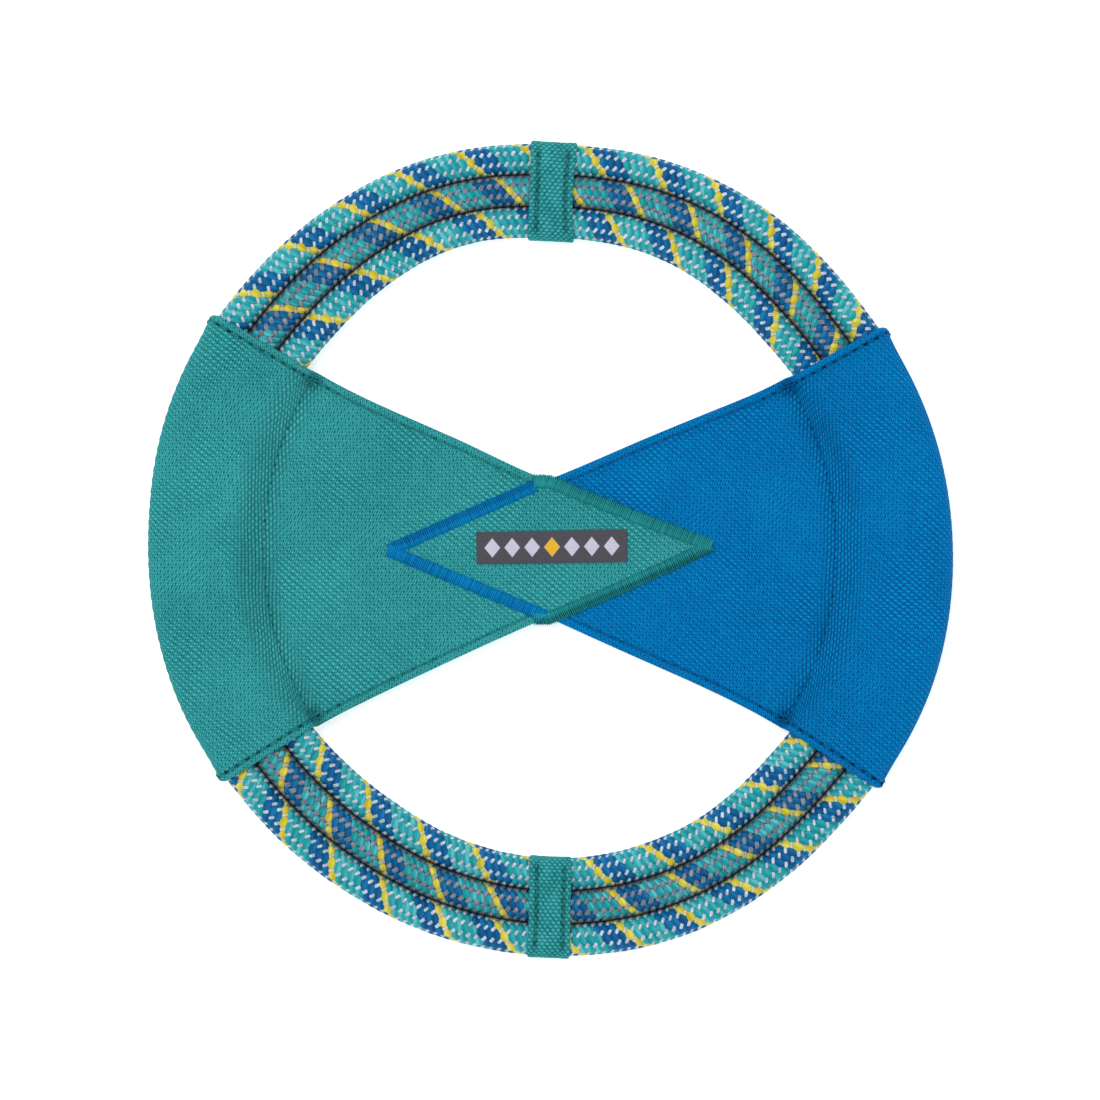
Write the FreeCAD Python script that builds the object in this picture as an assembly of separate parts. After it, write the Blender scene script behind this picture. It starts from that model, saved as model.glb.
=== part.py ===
"""Soft flying ring: three rope hoops side by side, two crossed cloth panels and two strap keepers.

Millimetres, +Z up. The ring lies flat on z = 0 with its centre on the Z axis. The teal panel wraps the
hoops on the -X side, the blue panel on the +X side, and the keepers hold the hoops together at +Y and -Y.
Heights called h are measured from the plane through the middle of the ropes.
"""
import FreeCAD, Part
import math
import os

# Rope hoops: a braided sheath over a core, closed by a sleeve where the two ends meet.
ROPE_R = 4.7
HOOP_PITCH = 9.5
OUTER_HOOP_R = 115.25
MIDDLE_HOOP_R = OUTER_HOOP_R - HOOP_PITCH
INNER_HOOP_R = MIDDLE_HOOP_R - HOOP_PITCH
SHEATH_WALL = 1.2
CORE_GAP = 0.05
NECK_R = 4.05
NECK_LENGTH = 12.0
JOINT_GAP = 0.4
SLEEVE_GAP = 0.05
# Each hoop's joint is hidden inside a panel's tunnel: name, hoop radius, angle of the joint in degrees.
HOOPS = [
    ("outer", OUTER_HOOP_R, 172.0),
    ("middle", MIDDLE_HOOP_R, 0.0),
    ("inner", INNER_HOOP_R, 188.0),
]

# Cloth panels: a front and a back layer that wrap the hoops and are sewn together inside them.
CLOTH_T = 0.65
WRAP_GAP = 0.1
WRAP_OUT = ROPE_R + WRAP_GAP + CLOTH_T
MID_Z = WRAP_OUT
APEX_X = 49.0
CORNER_ANGLE = 35.0
CHANNEL_R = 86.0
CHANNEL_HALF = 0.75
PAD_OUT_R = 80.5
PAD_IN_R = 57.0
PAD_SLOPE = 5.0
PAD_HALF = 0.75
PAD_GAP = 0.05
PAD_INSET = 6.0
RIM_R = OUTER_HOOP_R + WRAP_OUT

# Sewing threads lie in shallow grooves, flush with the cloth.
THREAD_W = 0.5
THREAD_DEPTH = 0.3
EDGE_INSET = 3.0
THREAD_STOP = 3.6
WAIST_CLEAR = 5.0
RIM_CLEAR = 0.5

# Satin border of the diamond where the panels cross, and the label in the middle of it.
SATIN_W = 3.5
SATIN_T = 0.4
LABEL_SIZE = (44.7, 9.7, 0.3)
LABEL_CENTRE = (0.3, 0.6)
LABEL_TILT = 0.8

# Keepers: straps folded round all three hoops.
KEEPER_W = 13.7
KEEPER_STITCH_X = 4.45

# Blocks used for cutting run this far past the ring, and this far above the cloth.
REACH = 400.0
ABOVE = 1.0
# A turned solid has its seam line where no panel reaches the rim.
SEAM_ANGLE = 90.0


def point(r, h):
    """A point of a profile, at radius r and height h."""
    return FreeCAD.Vector(r, 0, h)


def line(start, end):
    return Part.LineSegment(start, end).toShape()


def arc(centre_r, radius, start, end):
    """An arc of a profile about (centre_r, 0), from one angle to another, in radians."""
    angles = (start, (start + end) / 2, end)
    places = [point(centre_r + radius * math.cos(a), radius * math.sin(a)) for a in angles]
    return Part.Arc(*places).toShape()


def turned(face, start=0.0, sweep=360.0):
    """The solid that a profile makes when it is turned about the ring's axis."""
    solid = face.revolve(FreeCAD.Vector(0, 0, 0), FreeCAD.Vector(0, 0, 1), sweep)
    solid.rotate(FreeCAD.Vector(0, 0, 0), FreeCAD.Vector(0, 0, 1), start)
    return solid


def tube(hoop_r, outer_r, inner_r, start, sweep):
    """A stretch of a hoop with a round section, hollow where inner_r isn't zero."""
    radii = [outer_r, inner_r] if inner_r else [outer_r]
    wires = [Part.Wire(Part.makeCircle(r, point(hoop_r, 0), FreeCAD.Vector(0, 1, 0))) for r in radii]
    face = Part.Face(wires[0])
    for hole in wires[1:]:
        face = face.cut(Part.Face(hole)).Faces[0]
    return turned(face, start, sweep)


def degrees_along(length, radius):
    return math.degrees(length / radius)


def rope_sheath(hoop_r, joint):
    """The braided sheath, necked down on both sides of its joint to make room for the sleeve."""
    bore = ROPE_R - SHEATH_WALL
    gap = degrees_along(JOINT_GAP / 2, hoop_r)
    neck = degrees_along(NECK_LENGTH, hoop_r)
    body = tube(hoop_r, ROPE_R, bore, joint + gap + neck, 360 - 2 * (gap + neck))
    necks = [tube(hoop_r, NECK_R, bore, joint + gap, neck), tube(hoop_r, NECK_R, bore, joint - gap - neck, neck)]
    return body.multiFuse(necks).removeSplitter()


def rope_core(hoop_r, joint):
    gap = degrees_along(JOINT_GAP / 2, hoop_r)
    return tube(hoop_r, ROPE_R - SHEATH_WALL - CORE_GAP, 0, joint + gap, 360 - 2 * gap)


def rope_sleeve(hoop_r, joint):
    half = degrees_along(NECK_LENGTH - SLEEVE_GAP, hoop_r)
    return tube(hoop_r, ROPE_R, NECK_R + SLEEVE_GAP, joint - half, 2 * half)


def surface(level, out):
    """A panel's outer surface from rim to axis, as edges, moved outwards by out.

    It wraps the hoops, runs straight down to the channel seam at height level, rises over the pad and
    ends flat in the middle. The straight run leaves the inner hoop's wrap at a tangent.
    """
    radius = WRAP_OUT + out
    top = level + out
    foot = point(CHANNEL_R + CHANNEL_HALF, top)
    to_foot = math.atan2(foot.z, foot.x - INNER_HOOP_R) % (2 * math.pi)
    leaves = to_foot - math.acos(radius / math.hypot(foot.z, foot.x - INNER_HOOP_R))
    edges = [
        arc(OUTER_HOOP_R, radius, 0, math.pi / 2),
        line(point(OUTER_HOOP_R, radius), point(INNER_HOOP_R, radius)),
        arc(INNER_HOOP_R, radius, math.pi / 2, leaves),
    ]
    run = [
        point(INNER_HOOP_R + radius * math.cos(leaves), radius * math.sin(leaves)),
        foot,
        point(CHANNEL_R - CHANNEL_HALF, top),
        point(PAD_OUT_R, top + PAD_HALF),
        point(PAD_IN_R, top + PAD_HALF),
        point(PAD_IN_R - PAD_SLOPE, top),
        point(0, top),
    ]
    return edges + [line(a, b) for a, b in zip(run, run[1:])]


def between(level, out, inward):
    """The ring-shaped solid between two copies of a panel's outer surface, over the ropes' plane."""
    far, near = surface(level, out), surface(level, -inward)
    ends = [
        line(point(RIM_R + out, 0), point(RIM_R - inward, 0)),
        line(point(0, level + out), point(0, level - inward)),
    ]
    wire = Part.Wire(Part.__sortEdges__(far + near + ends))
    return turned(Part.Face(wire), SEAM_ANGLE)


def prism(corners, low=-REACH, high=REACH):
    """A straight-sided block over a flat outline, between two heights."""
    outline = [FreeCAD.Vector(x, y, low) for x, y in corners]
    face = Part.Face(Part.makePolygon(outline + outline[:1]))
    return face.extrude(FreeCAD.Vector(0, 0, high - low))


EDGE_SLOPE = RIM_R * math.sin(math.radians(CORNER_ANGLE)) / (
    APEX_X + RIM_R * math.cos(math.radians(CORNER_ANGLE))
)
EDGE_SIN = math.sin(math.atan(EDGE_SLOPE))


def wedge(side, inset=0.0):
    """A panel's plan: it widens from its apex beyond the centre to the rim on the side given."""
    apex = APEX_X - inset / EDGE_SIN
    wide = (REACH + apex) * EDGE_SLOPE
    corners = [(-side * apex, 0), (side * REACH, wide), (side * REACH, -wide)]
    return prism(corners)


def slab(x_low, x_high):
    return prism([(x_low, -REACH), (x_high, -REACH), (x_high, REACH), (x_low, REACH)])


def drum(radius, low=-REACH, high=REACH):
    block = Part.makeCylinder(radius, high - low, FreeCAD.Vector(0, 0, low))
    block.rotate(FreeCAD.Vector(0, 0, 0), FreeCAD.Vector(0, 0, 1), SEAM_ANGLE)
    return block


def ring_block(inner_r, outer_r, low=-REACH, high=REACH):
    return drum(outer_r, low, high).cut(drum(inner_r, low, high))


def turned_over(shape):
    """The shape on the other side of the ropes' plane."""
    return shape.mirror(FreeCAD.Vector(0, 0, 0), FreeCAD.Vector(0, 0, 1))


def cloth_layer(side, level):
    """One layer of a panel, lying over the ropes' plane, with the grooves cut, and its threads."""
    cloth = between(level, 0, CLOTH_T).common(wedge(side))
    skin = between(level, ABOVE, THREAD_DEPTH)
    own_side = slab(*sorted((side * WAIST_CLEAR, side * REACH)))
    sewn = own_side.common(drum(RIM_R - RIM_CLEAR))
    edge_band = wedge(side, EDGE_INSET - THREAD_W / 2).cut(wedge(side, EDGE_INSET + THREAD_W / 2))
    within = wedge(side, THREAD_STOP)
    channel = ring_block(CHANNEL_R - THREAD_W / 2, CHANNEL_R + THREAD_W / 2).common(within)
    rim = ring_block(RIM_R - THREAD_DEPTH, RIM_R + ABOVE, -THREAD_W / 2, THREAD_W / 2).common(within)
    cutters = {
        "edge": skin.common(edge_band).common(sewn),
        "channel": skin.common(channel),
        "rim": rim,
    }
    threads = {run: cloth.common(cutter) for run, cutter in cutters.items()}
    for cutter in cutters.values():
        cloth = cloth.cut(cutter)
    return cloth, threads


def group(shapes):
    """Several solids as one node."""
    solids = [solid for shape in shapes for solid in shape.Solids]
    return solids[0] if len(solids) == 1 else Part.makeCompound(solids)


def panel(name, side, level_front, level_back):
    """A panel's two layers, its pad and its threads, by node name."""
    front, front_threads = cloth_layer(side, level_front)
    back, back_threads = cloth_layer(side, level_back)
    back = turned_over(back)
    back_threads = {run: turned_over(thread) for run, thread in back_threads.items()}
    middle = level_front - CLOTH_T
    pad = ring_block(PAD_IN_R, PAD_OUT_R, middle - PAD_HALF + PAD_GAP, middle + PAD_HALF - PAD_GAP)
    nodes = {
        f"{name}_front_panel": group([front]),
        f"{name}_back_panel": group([back]),
        f"{name}_pad": group([pad.common(wedge(side, PAD_INSET))]),
        f"{name}_edge_stitching": group([front_threads["edge"], back_threads["edge"]]),
        f"{name}_channel_stitching": group([front_threads["channel"], back_threads["channel"]]),
        f"{name}_rim_stitching": front_threads["rim"].fuse(back_threads["rim"]).removeSplitter(),
    }
    return nodes


def satin_border(side):
    """Half of the diamond's border, on both faces of the crossing, with its point on the side given."""
    waist = APEX_X * EDGE_SLOPE
    inner_apex = APEX_X - SATIN_W / EDGE_SIN
    inner_waist = inner_apex * EDGE_SLOPE
    outline = [
        (side * APEX_X, 0),
        (0, waist),
        (0, inner_waist),
        (side * inner_apex, 0),
        (0, -inner_waist),
        (0, -waist),
    ]
    front = prism(outline, 2 * CLOTH_T, 2 * CLOTH_T + SATIN_T)
    return group([front, turned_over(front)])


def label():
    wide, tall, thick = LABEL_SIZE
    base = FreeCAD.Vector(LABEL_CENTRE[0] - wide / 2, LABEL_CENTRE[1] - tall / 2, 2 * CLOTH_T)
    box = Part.makeBox(wide, tall, thick, base)
    box.rotate(FreeCAD.Vector(*LABEL_CENTRE, 0), FreeCAD.Vector(0, 0, 1), LABEL_TILT)
    return box


def loop_around_hoops(radius):
    """The outline round all three hoops at a distance from the ropes' middles, as a face."""
    edges = [
        arc(OUTER_HOOP_R, radius, -math.pi / 2, math.pi / 2),
        line(point(OUTER_HOOP_R, radius), point(INNER_HOOP_R, radius)),
        arc(INNER_HOOP_R, radius, math.pi / 2, 3 * math.pi / 2),
        line(point(INNER_HOOP_R, -radius), point(OUTER_HOOP_R, -radius)),
    ]
    return Part.Face(Part.Wire(edges))


def keeper(name, angle):
    """A keeper strap centred at an angle round the ring, and its two rows of stitching."""
    spread = degrees_along(2 * KEEPER_W, INNER_HOOP_R)
    start = 90 - spread / 2
    opening = loop_around_hoops(WRAP_OUT - CLOTH_T)
    band = turned(loop_around_hoops(WRAP_OUT).cut(opening).Faces[0], start, spread)
    band = band.common(slab(-KEEPER_W / 2, KEEPER_W / 2))
    below_skin = loop_around_hoops(WRAP_OUT - THREAD_DEPTH)
    skin = turned(loop_around_hoops(WRAP_OUT + ABOVE).cut(below_skin).Faces[0], start, spread)
    threads = []
    for x in (-KEEPER_STITCH_X, KEEPER_STITCH_X):
        groove = skin.common(slab(x - THREAD_W / 2, x + THREAD_W / 2))
        threads.append(band.common(groove))
        band = band.cut(groove)
    nodes = {f"{name}_keeper": group([band]), f"{name}_keeper_stitching": group(threads)}
    for shape in nodes.values():
        shape.rotate(FreeCAD.Vector(0, 0, 0), FreeCAD.Vector(0, 0, 1), angle - 90)
    return nodes


def build():
    nodes = {}
    for name, hoop_r, joint in HOOPS:
        nodes[f"{name}_rope_sheath"] = rope_sheath(hoop_r, joint)
        nodes[f"{name}_rope_core"] = rope_core(hoop_r, joint)
        nodes[f"{name}_rope_sleeve"] = rope_sleeve(hoop_r, joint)
    # The teal panel lies on the blue one where they cross: each layer is one cloth thickness up or down.
    nodes.update(panel("teal", -1, 2 * CLOTH_T, 0.0))
    nodes.update(panel("blue", 1, 0.0, 2 * CLOTH_T))
    nodes["left_satin_border"] = satin_border(-1)
    nodes["right_satin_border"] = satin_border(1)
    nodes["label"] = label()
    nodes.update(keeper("top", 90))
    nodes.update(keeper("bottom", 270))
    return nodes


os.makedirs("parts", exist_ok=True)
for node, shape in build().items():
    shape.translate(FreeCAD.Vector(0, 0, MID_Z))
    if not shape.isValid() or shape.Volume <= 0:
        raise ValueError(f"{node} is not a valid solid")
    shape.exportStep(f"parts/{node}.step")
    box = shape.optimalBoundingBox()
    print(f"{node:26s} solids {len(shape.Solids)} volume {shape.Volume:9.1f} "
          f"x {box.XMin:7.2f} {box.XMax:7.2f} y {box.YMin:7.2f} {box.YMax:7.2f} z {box.ZMin:5.2f} {box.ZMax:5.2f}")
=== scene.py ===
"""The look of the soft flying ring: rope hoops, woven panels, sewing, satin border, label and keepers.

Shapes are worked out in millimetres, in the CAD model's frame. Heights called h are measured from the plane
through the middle of the ropes, towards the face that is being made.
"""
import math
from functools import partialmethod

import bpy
import numpy as np
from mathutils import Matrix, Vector


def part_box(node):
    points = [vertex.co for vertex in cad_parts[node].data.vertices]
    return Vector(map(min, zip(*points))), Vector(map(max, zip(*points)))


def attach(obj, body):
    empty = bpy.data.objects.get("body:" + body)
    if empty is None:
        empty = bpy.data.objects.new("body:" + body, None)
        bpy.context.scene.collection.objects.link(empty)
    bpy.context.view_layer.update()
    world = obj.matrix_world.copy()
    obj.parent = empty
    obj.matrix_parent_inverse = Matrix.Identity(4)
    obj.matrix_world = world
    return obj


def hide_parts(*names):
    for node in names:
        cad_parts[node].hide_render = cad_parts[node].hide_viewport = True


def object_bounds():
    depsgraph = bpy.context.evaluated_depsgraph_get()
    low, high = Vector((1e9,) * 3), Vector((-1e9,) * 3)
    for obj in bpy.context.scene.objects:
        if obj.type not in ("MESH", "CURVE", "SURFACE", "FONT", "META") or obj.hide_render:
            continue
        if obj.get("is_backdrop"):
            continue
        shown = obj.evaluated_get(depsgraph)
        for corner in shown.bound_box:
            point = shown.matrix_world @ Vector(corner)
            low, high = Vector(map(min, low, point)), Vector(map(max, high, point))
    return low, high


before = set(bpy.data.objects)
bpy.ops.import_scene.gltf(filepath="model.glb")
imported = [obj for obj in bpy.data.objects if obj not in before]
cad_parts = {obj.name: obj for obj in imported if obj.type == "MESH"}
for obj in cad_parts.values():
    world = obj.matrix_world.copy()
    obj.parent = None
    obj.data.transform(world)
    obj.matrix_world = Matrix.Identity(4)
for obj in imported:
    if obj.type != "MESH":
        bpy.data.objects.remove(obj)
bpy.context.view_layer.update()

MM = 0.001
TURN = 2 * math.pi
# Strands of each hand in a rope's braid.
STRANDS = 8


def box_mm(node):
    low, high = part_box(node)
    return np.array(low) / MM, np.array(high) / MM


# Sizes taken from the CAD model.
HOOP_NAMES = ("outer", "middle", "inner")
ROPE_R = float(np.ptp([side[2] for side in box_mm("outer_rope_sheath")]) / 2)
HOOP_R = {name: float(box_mm(f"{name}_rope_sheath")[1][1]) - ROPE_R for name in HOOP_NAMES}
MID_Z = float(box_mm("teal_front_panel")[0][2])
CLOTH_T = (float(box_mm("label")[0][2]) - MID_Z) / 2
RIM_R = float(box_mm("top_keeper")[1][1])
WRAP_OUT = RIM_R - HOOP_R["outer"]
APEX = float(box_mm("teal_front_panel")[1][0])
WAIST = float(box_mm("left_satin_border")[1][1])
SLOPE = WAIST / APEX
LEAN = math.atan(SLOPE)
HALF_SEAM_STRIP = 0.25
CHANNEL_R = float(box_mm("blue_channel_stitching")[1][0]) - HALF_SEAM_STRIP
PAD_OUT_R = float(box_mm("blue_pad")[1][0])
BAND_IN = HOOP_R["inner"] - ROPE_R
BAND_OUT = HOOP_R["outer"] + ROPE_R

# The panels' other driving sizes: the pad and the cloth's rise over it, the hems' inset and the stitches.
PAD_IN_R = 57.0
PAD_SLOPE = 5.0
PAD_HALF = 0.75
PAD_SHORT = 14.0
PAD_MARGIN = 6.0
PAD_CORNER = 0.86
EDGE_INSET = 2.5
EDGE_PITCH = 3.46
CHANNEL_PITCH = 2.85
RIM_PITCH = 3.2

# How far the soft ring lies from the true circle: angle in degrees, millimetres outwards at the outer
# and inner edge of the band of ropes. The rows come from a measuring script's readings of the photo's outline,
# turned into millimetres and rounded, with a dip added by hand at the top keeper.
RELAX = np.array([
    (0, -0.7, -0.9), (20, -1.3, -1.4), (36, -2.1, -2.8), (44, -1.6, -3.0), (56, 0.0, -1.3), (64, 0.65, 0.2),
    (72, 0.95, 1.0), (79, 0.9, 0.95), (85, 0.45, 0.9), (90, 0.75, 0.9), (95, 1.0, 1.0), (100, 1.8, 2.3),
    (110, 2.1, 2.3), (116, 1.8, 1.4), (124, 1.25, 0.2), (132, 0.95, -1.0), (140, 0.65, -1.6),
    (152, 0.9, -1.2), (164, 0.2, -0.9), (176, -1.0, -1.0), (190, -1.0, -1.2), (205, -1.0, -2.0),
    (216, -1.9, -3.4), (228, -1.5, -3.8), (240, -1.1, -3.3), (248, -0.3, -1.9), (256, 0.35, -1.0),
    (264, 0.95, -0.1), (272, 1.4, 0.6), (282, 2.1, 0.6), (290, 2.1, 0.3), (298, 1.4, 0.1),
    (308, 0.3, -1.3), (318, -0.9, -2.2), (328, 0.0, -1.6), (340, 0.4, -1.0), (350, -0.1, -0.9),
])
RELAX_EASE = 3.5
# The tunnel seam lies inside its circle on a panel's middle line and outside it towards the hems.
SEAM_DIP = 0.8
SEAM_BEND = 1.3
HEM_ANGLE = 33.0
LAST_ANGLE = 40.0
STILL_R = 60.0


def smooth_step(low, high, x):
    t = np.clip((x - low) / (high - low), 0, 1)
    return t * t * (3 - 2 * t)


def bump(x, wide):
    """A bell: 1 at zero, and about a third of that at wide to either side."""
    return np.exp(-(x / wide) ** 2)


def kernel(offsets, reach):
    """Weights that ease a line over reach to either side."""
    weights = np.exp(-(offsets / reach) ** 2 / 2)
    return weights / weights.sum()


def eased_table(column):
    """One column of RELAX at every degree, smoothed round the circle."""
    degrees = np.arange(360)
    values = np.interp(degrees, RELAX[:, 0], RELAX[:, column], period=360)
    weights = kernel(np.minimum(degrees, 360 - degrees), RELAX_EASE)
    return np.real(np.fft.ifft(np.fft.fft(values) * np.fft.fft(weights)))


OUT_SHIFT, IN_SHIFT = eased_table(1), eased_table(2)


def shift(r, angle):
    """How far outwards the soft ring lies at a radius and an angle, in millimetres."""
    degrees = np.degrees(angle) % 360
    out, inward = (np.interp(degrees, np.arange(360), table, period=360) for table in (OUT_SHIFT, IN_SHIFT))
    off_axis = np.minimum(np.abs((degrees + 90) % 180 - 90), LAST_ANGLE)
    seam = SEAM_BEND * (off_axis / HEM_ANGLE) ** 2 - SEAM_DIP
    to_seam = np.clip((r - STILL_R) / (CHANNEL_R - STILL_R), 0, 1)
    to_rope = np.clip((r - CHANNEL_R) / (BAND_IN - CHANNEL_R), 0, 1)
    across = np.clip((r - BAND_IN) / (BAND_OUT - BAND_IN), 0, 1)
    return seam * to_seam * (1 - to_rope) + to_rope * (inward * (1 - across) + out * across)


def relaxed(points):
    r = np.hypot(points[..., 0], points[..., 1])
    grow = 1 + shift(r, np.arctan2(points[..., 1], points[..., 0])) / np.maximum(r, 1)
    return np.stack([points[..., 0] * grow, points[..., 1] * grow, points[..., 2]], -1)


def waves(seed, shortest, longest, count=16):
    """A gently bumpy function of the plane, about -1 to 1: a fixed sum of sines."""
    rng = np.random.default_rng(seed)
    heading = rng.uniform(0, TURN, count)
    length = np.exp(rng.uniform(math.log(shortest), math.log(longest), count))
    phase = rng.uniform(0, TURN, count)

    def height(x, y):
        total = 0
        for a, l, p in zip(heading, length, phase):
            total = total + np.sin(TURN * (x * math.cos(a) + y * math.sin(a)) / l + p)
        return total / math.sqrt(count)

    return height


wrinkle = waves(seed=3, shortest=14, longest=60)
fine_wrinkle = waves(seed=8, shortest=4, longest=12)


# ---------------------------------------------------------------- meshes

def volume(points, faces):
    p = points[faces]
    a = np.einsum("ij,ij->i", p[:, 0], np.cross(p[:, 1], p[:, 2]))
    b = np.einsum("ij,ij->i", p[:, 0], np.cross(p[:, 2], p[:, 3]))
    return float((a + b).sum())


def facing_out(points, faces):
    """The faces of a closed shell, turned so that they face outwards."""
    centred = points - points.mean(0)
    return faces if volume(centred, faces) > 0 else faces[:, ::-1]


def merged(parts):
    """Several (points, faces, uv maps) as one."""
    points = np.concatenate([p for p, f, m in parts])
    starts = np.cumsum([0] + [len(p) for p, f, m in parts[:-1]])
    faces = np.concatenate([f + start for (p, f, m), start in zip(parts, starts)])
    maps = {key: np.concatenate([m[key] for p, f, m in parts]) for key in parts[0][2]}
    return points, faces, maps


def piece(name, shape, material, slot, *nodes):
    """A mesh piece from (points in mm, quads, uv maps), riding on the ring in place of CAD nodes."""
    points, faces, maps = shape
    mesh = bpy.data.meshes.new(name)
    mesh.vertices.add(len(points))
    mesh.vertices.foreach_set("co", (points * MM).astype(np.float32).ravel())
    mesh.loops.add(faces.size)
    mesh.loops.foreach_set("vertex_index", faces.astype(np.int32).ravel())
    mesh.polygons.add(len(faces))
    mesh.polygons.foreach_set("loop_start", np.arange(0, faces.size, 4, dtype=np.int32))
    mesh.update(calc_edges=True)
    mesh.polygons.foreach_set("use_smooth", np.ones(len(faces), bool))
    for key, values in maps.items():
        layer = mesh.uv_layers.new(name=key)
        layer.data.foreach_set("uv", values[faces.ravel()].astype(np.float32).ravel())
    mesh.materials.append(material)
    made = bpy.data.objects.new(name, mesh)
    bpy.context.scene.collection.objects.link(made)
    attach(made, "root")
    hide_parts(*nodes)
    return made


def pairs(first, second):
    """A uv map from two grids of values, or from a grid and a number."""
    return np.stack(np.broadcast_arrays(first, second), -1).reshape(-1, 2)


def wrapped_quads(rows, columns, close_rows):
    """Quads of a grid whose columns wrap round, and whose rows may."""
    i = np.arange(rows if close_rows else rows - 1)[:, None]
    j = np.arange(columns)[None, :]
    after_i, after_j = (i + 1) % rows, (j + 1) % columns
    corners = [i * columns + j, after_i * columns + j, after_i * columns + after_j, i * columns + after_j]
    return np.stack([np.broadcast_to(c, (i.size, columns)) for c in corners], -1).reshape(-1, 4)


def shell(outer, inner, maps):
    """A closed sheet from its two surfaces, grids that share their borders."""
    rows, columns = outer.shape[:2]
    top = np.arange(rows * columns).reshape(rows, columns)
    low = top + rows * columns
    low[0], low[-1], low[:, 0], low[:, -1] = top[0], top[-1], top[:, 0], top[:, -1]

    def quads(index):
        return np.stack([index[:-1, :-1], index[1:, :-1], index[1:, 1:], index[:-1, 1:]], -1).reshape(-1, 4)

    faces = np.concatenate([quads(top), quads(low)[:, ::-1]])
    points = np.concatenate([outer.reshape(-1, 3), inner.reshape(-1, 3)])
    used, faces = np.unique(faces, return_inverse=True)
    faces = faces.reshape(-1, 4)
    points = points[used]
    doubled = {key: np.tile(m, (2, 1))[used] for key, m in maps.items()}
    return points, facing_out(points, faces), doubled


def rounding(distance, radius):
    """0 at an edge and 1 from radius inwards, along a quarter circle."""
    t = 1 - np.clip(distance / radius, 0, 1)
    return np.sqrt(np.maximum(1 - t * t, 0))


def capsules(centres, tangents, normals, wide, tall, sides=6):
    """Tubes from grids of section centres: stitches and threads. They have no end caps, so a tube is closed
    only where its first and last sections shrink to a point.

    Wide and tall are half sizes per section."""
    side = np.cross(tangents, normals)
    side /= np.linalg.norm(side, axis=-1, keepdims=True)
    around = np.arange(sides) / sides * TURN
    ring = (
        centres[:, :, None]
        + side[:, :, None] * (wide[..., None] * np.cos(around))[..., None]
        + normals[:, :, None] * (tall[..., None] * np.sin(around))[..., None]
    )
    count, sections = centres.shape[:2]
    one = wrapped_quads(sections, sides, False)
    number = np.arange(count)[:, None, None]
    faces = (one[None] + number * sections * sides).reshape(-1, 4)
    points = ring.reshape(-1, 3)
    along = np.linspace(0, 1, sections)[None, :, None]
    sample = faces[: len(one)]
    if volume(points - points[: sections * sides].mean(0), sample) < 0:
        faces = faces[:, ::-1]
    return points, faces, {"thread": pairs(number + along, around / TURN)}


# ---------------------------------------------------------------- materials

class Wire:
    """A number in a material's node tree. Arithmetic on it adds Math nodes to that tree."""

    def __init__(self, tree, socket):
        self.tree, self.socket = tree, socket

    def math(self, operation, *others, clamp=False):
        node = self.tree.nodes.new("ShaderNodeMath")
        node.operation, node.use_clamp = operation, clamp
        for place, value in enumerate((self, *others)):
            feed(self.tree, node.inputs[place], value)
        return Wire(self.tree, node.outputs[0])

    __add__ = __radd__ = partialmethod(math, "ADD")
    __sub__ = partialmethod(math, "SUBTRACT")
    __mul__ = __rmul__ = partialmethod(math, "MULTIPLY")
    __truediv__ = partialmethod(math, "DIVIDE")
    floor = partialmethod(math, "FLOOR")
    fract = partialmethod(math, "FRACT")
    cos = partialmethod(math, "COSINE")
    abs = partialmethod(math, "ABSOLUTE")
    larger = partialmethod(math, "MAXIMUM")
    clamped = partialmethod(math, "ADD", 0.0, clamp=True)

    def ramp(self, low, high):
        """0 at low and 1 at high, clamped and smooth."""
        node = self.tree.nodes.new("ShaderNodeMapRange")
        node.interpolation_type = "SMOOTHSTEP"
        feed(self.tree, node.inputs["Value"], self)
        node.inputs["From Min"].default_value, node.inputs["From Max"].default_value = low, high
        return Wire(self.tree, node.outputs["Result"])


def feed(tree, socket, value):
    if isinstance(value, Wire):
        tree.links.new(value.socket, socket)
    else:
        socket.default_value = value


def linear(colour):
    """An sRGB colour of 0 to 255 as linear RGBA."""
    scaled = [c / 255 for c in colour]
    return (*[c / 12.92 if c <= 0.04045 else ((c + 0.055) / 1.055) ** 2.4 for c in scaled], 1.0)


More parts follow.
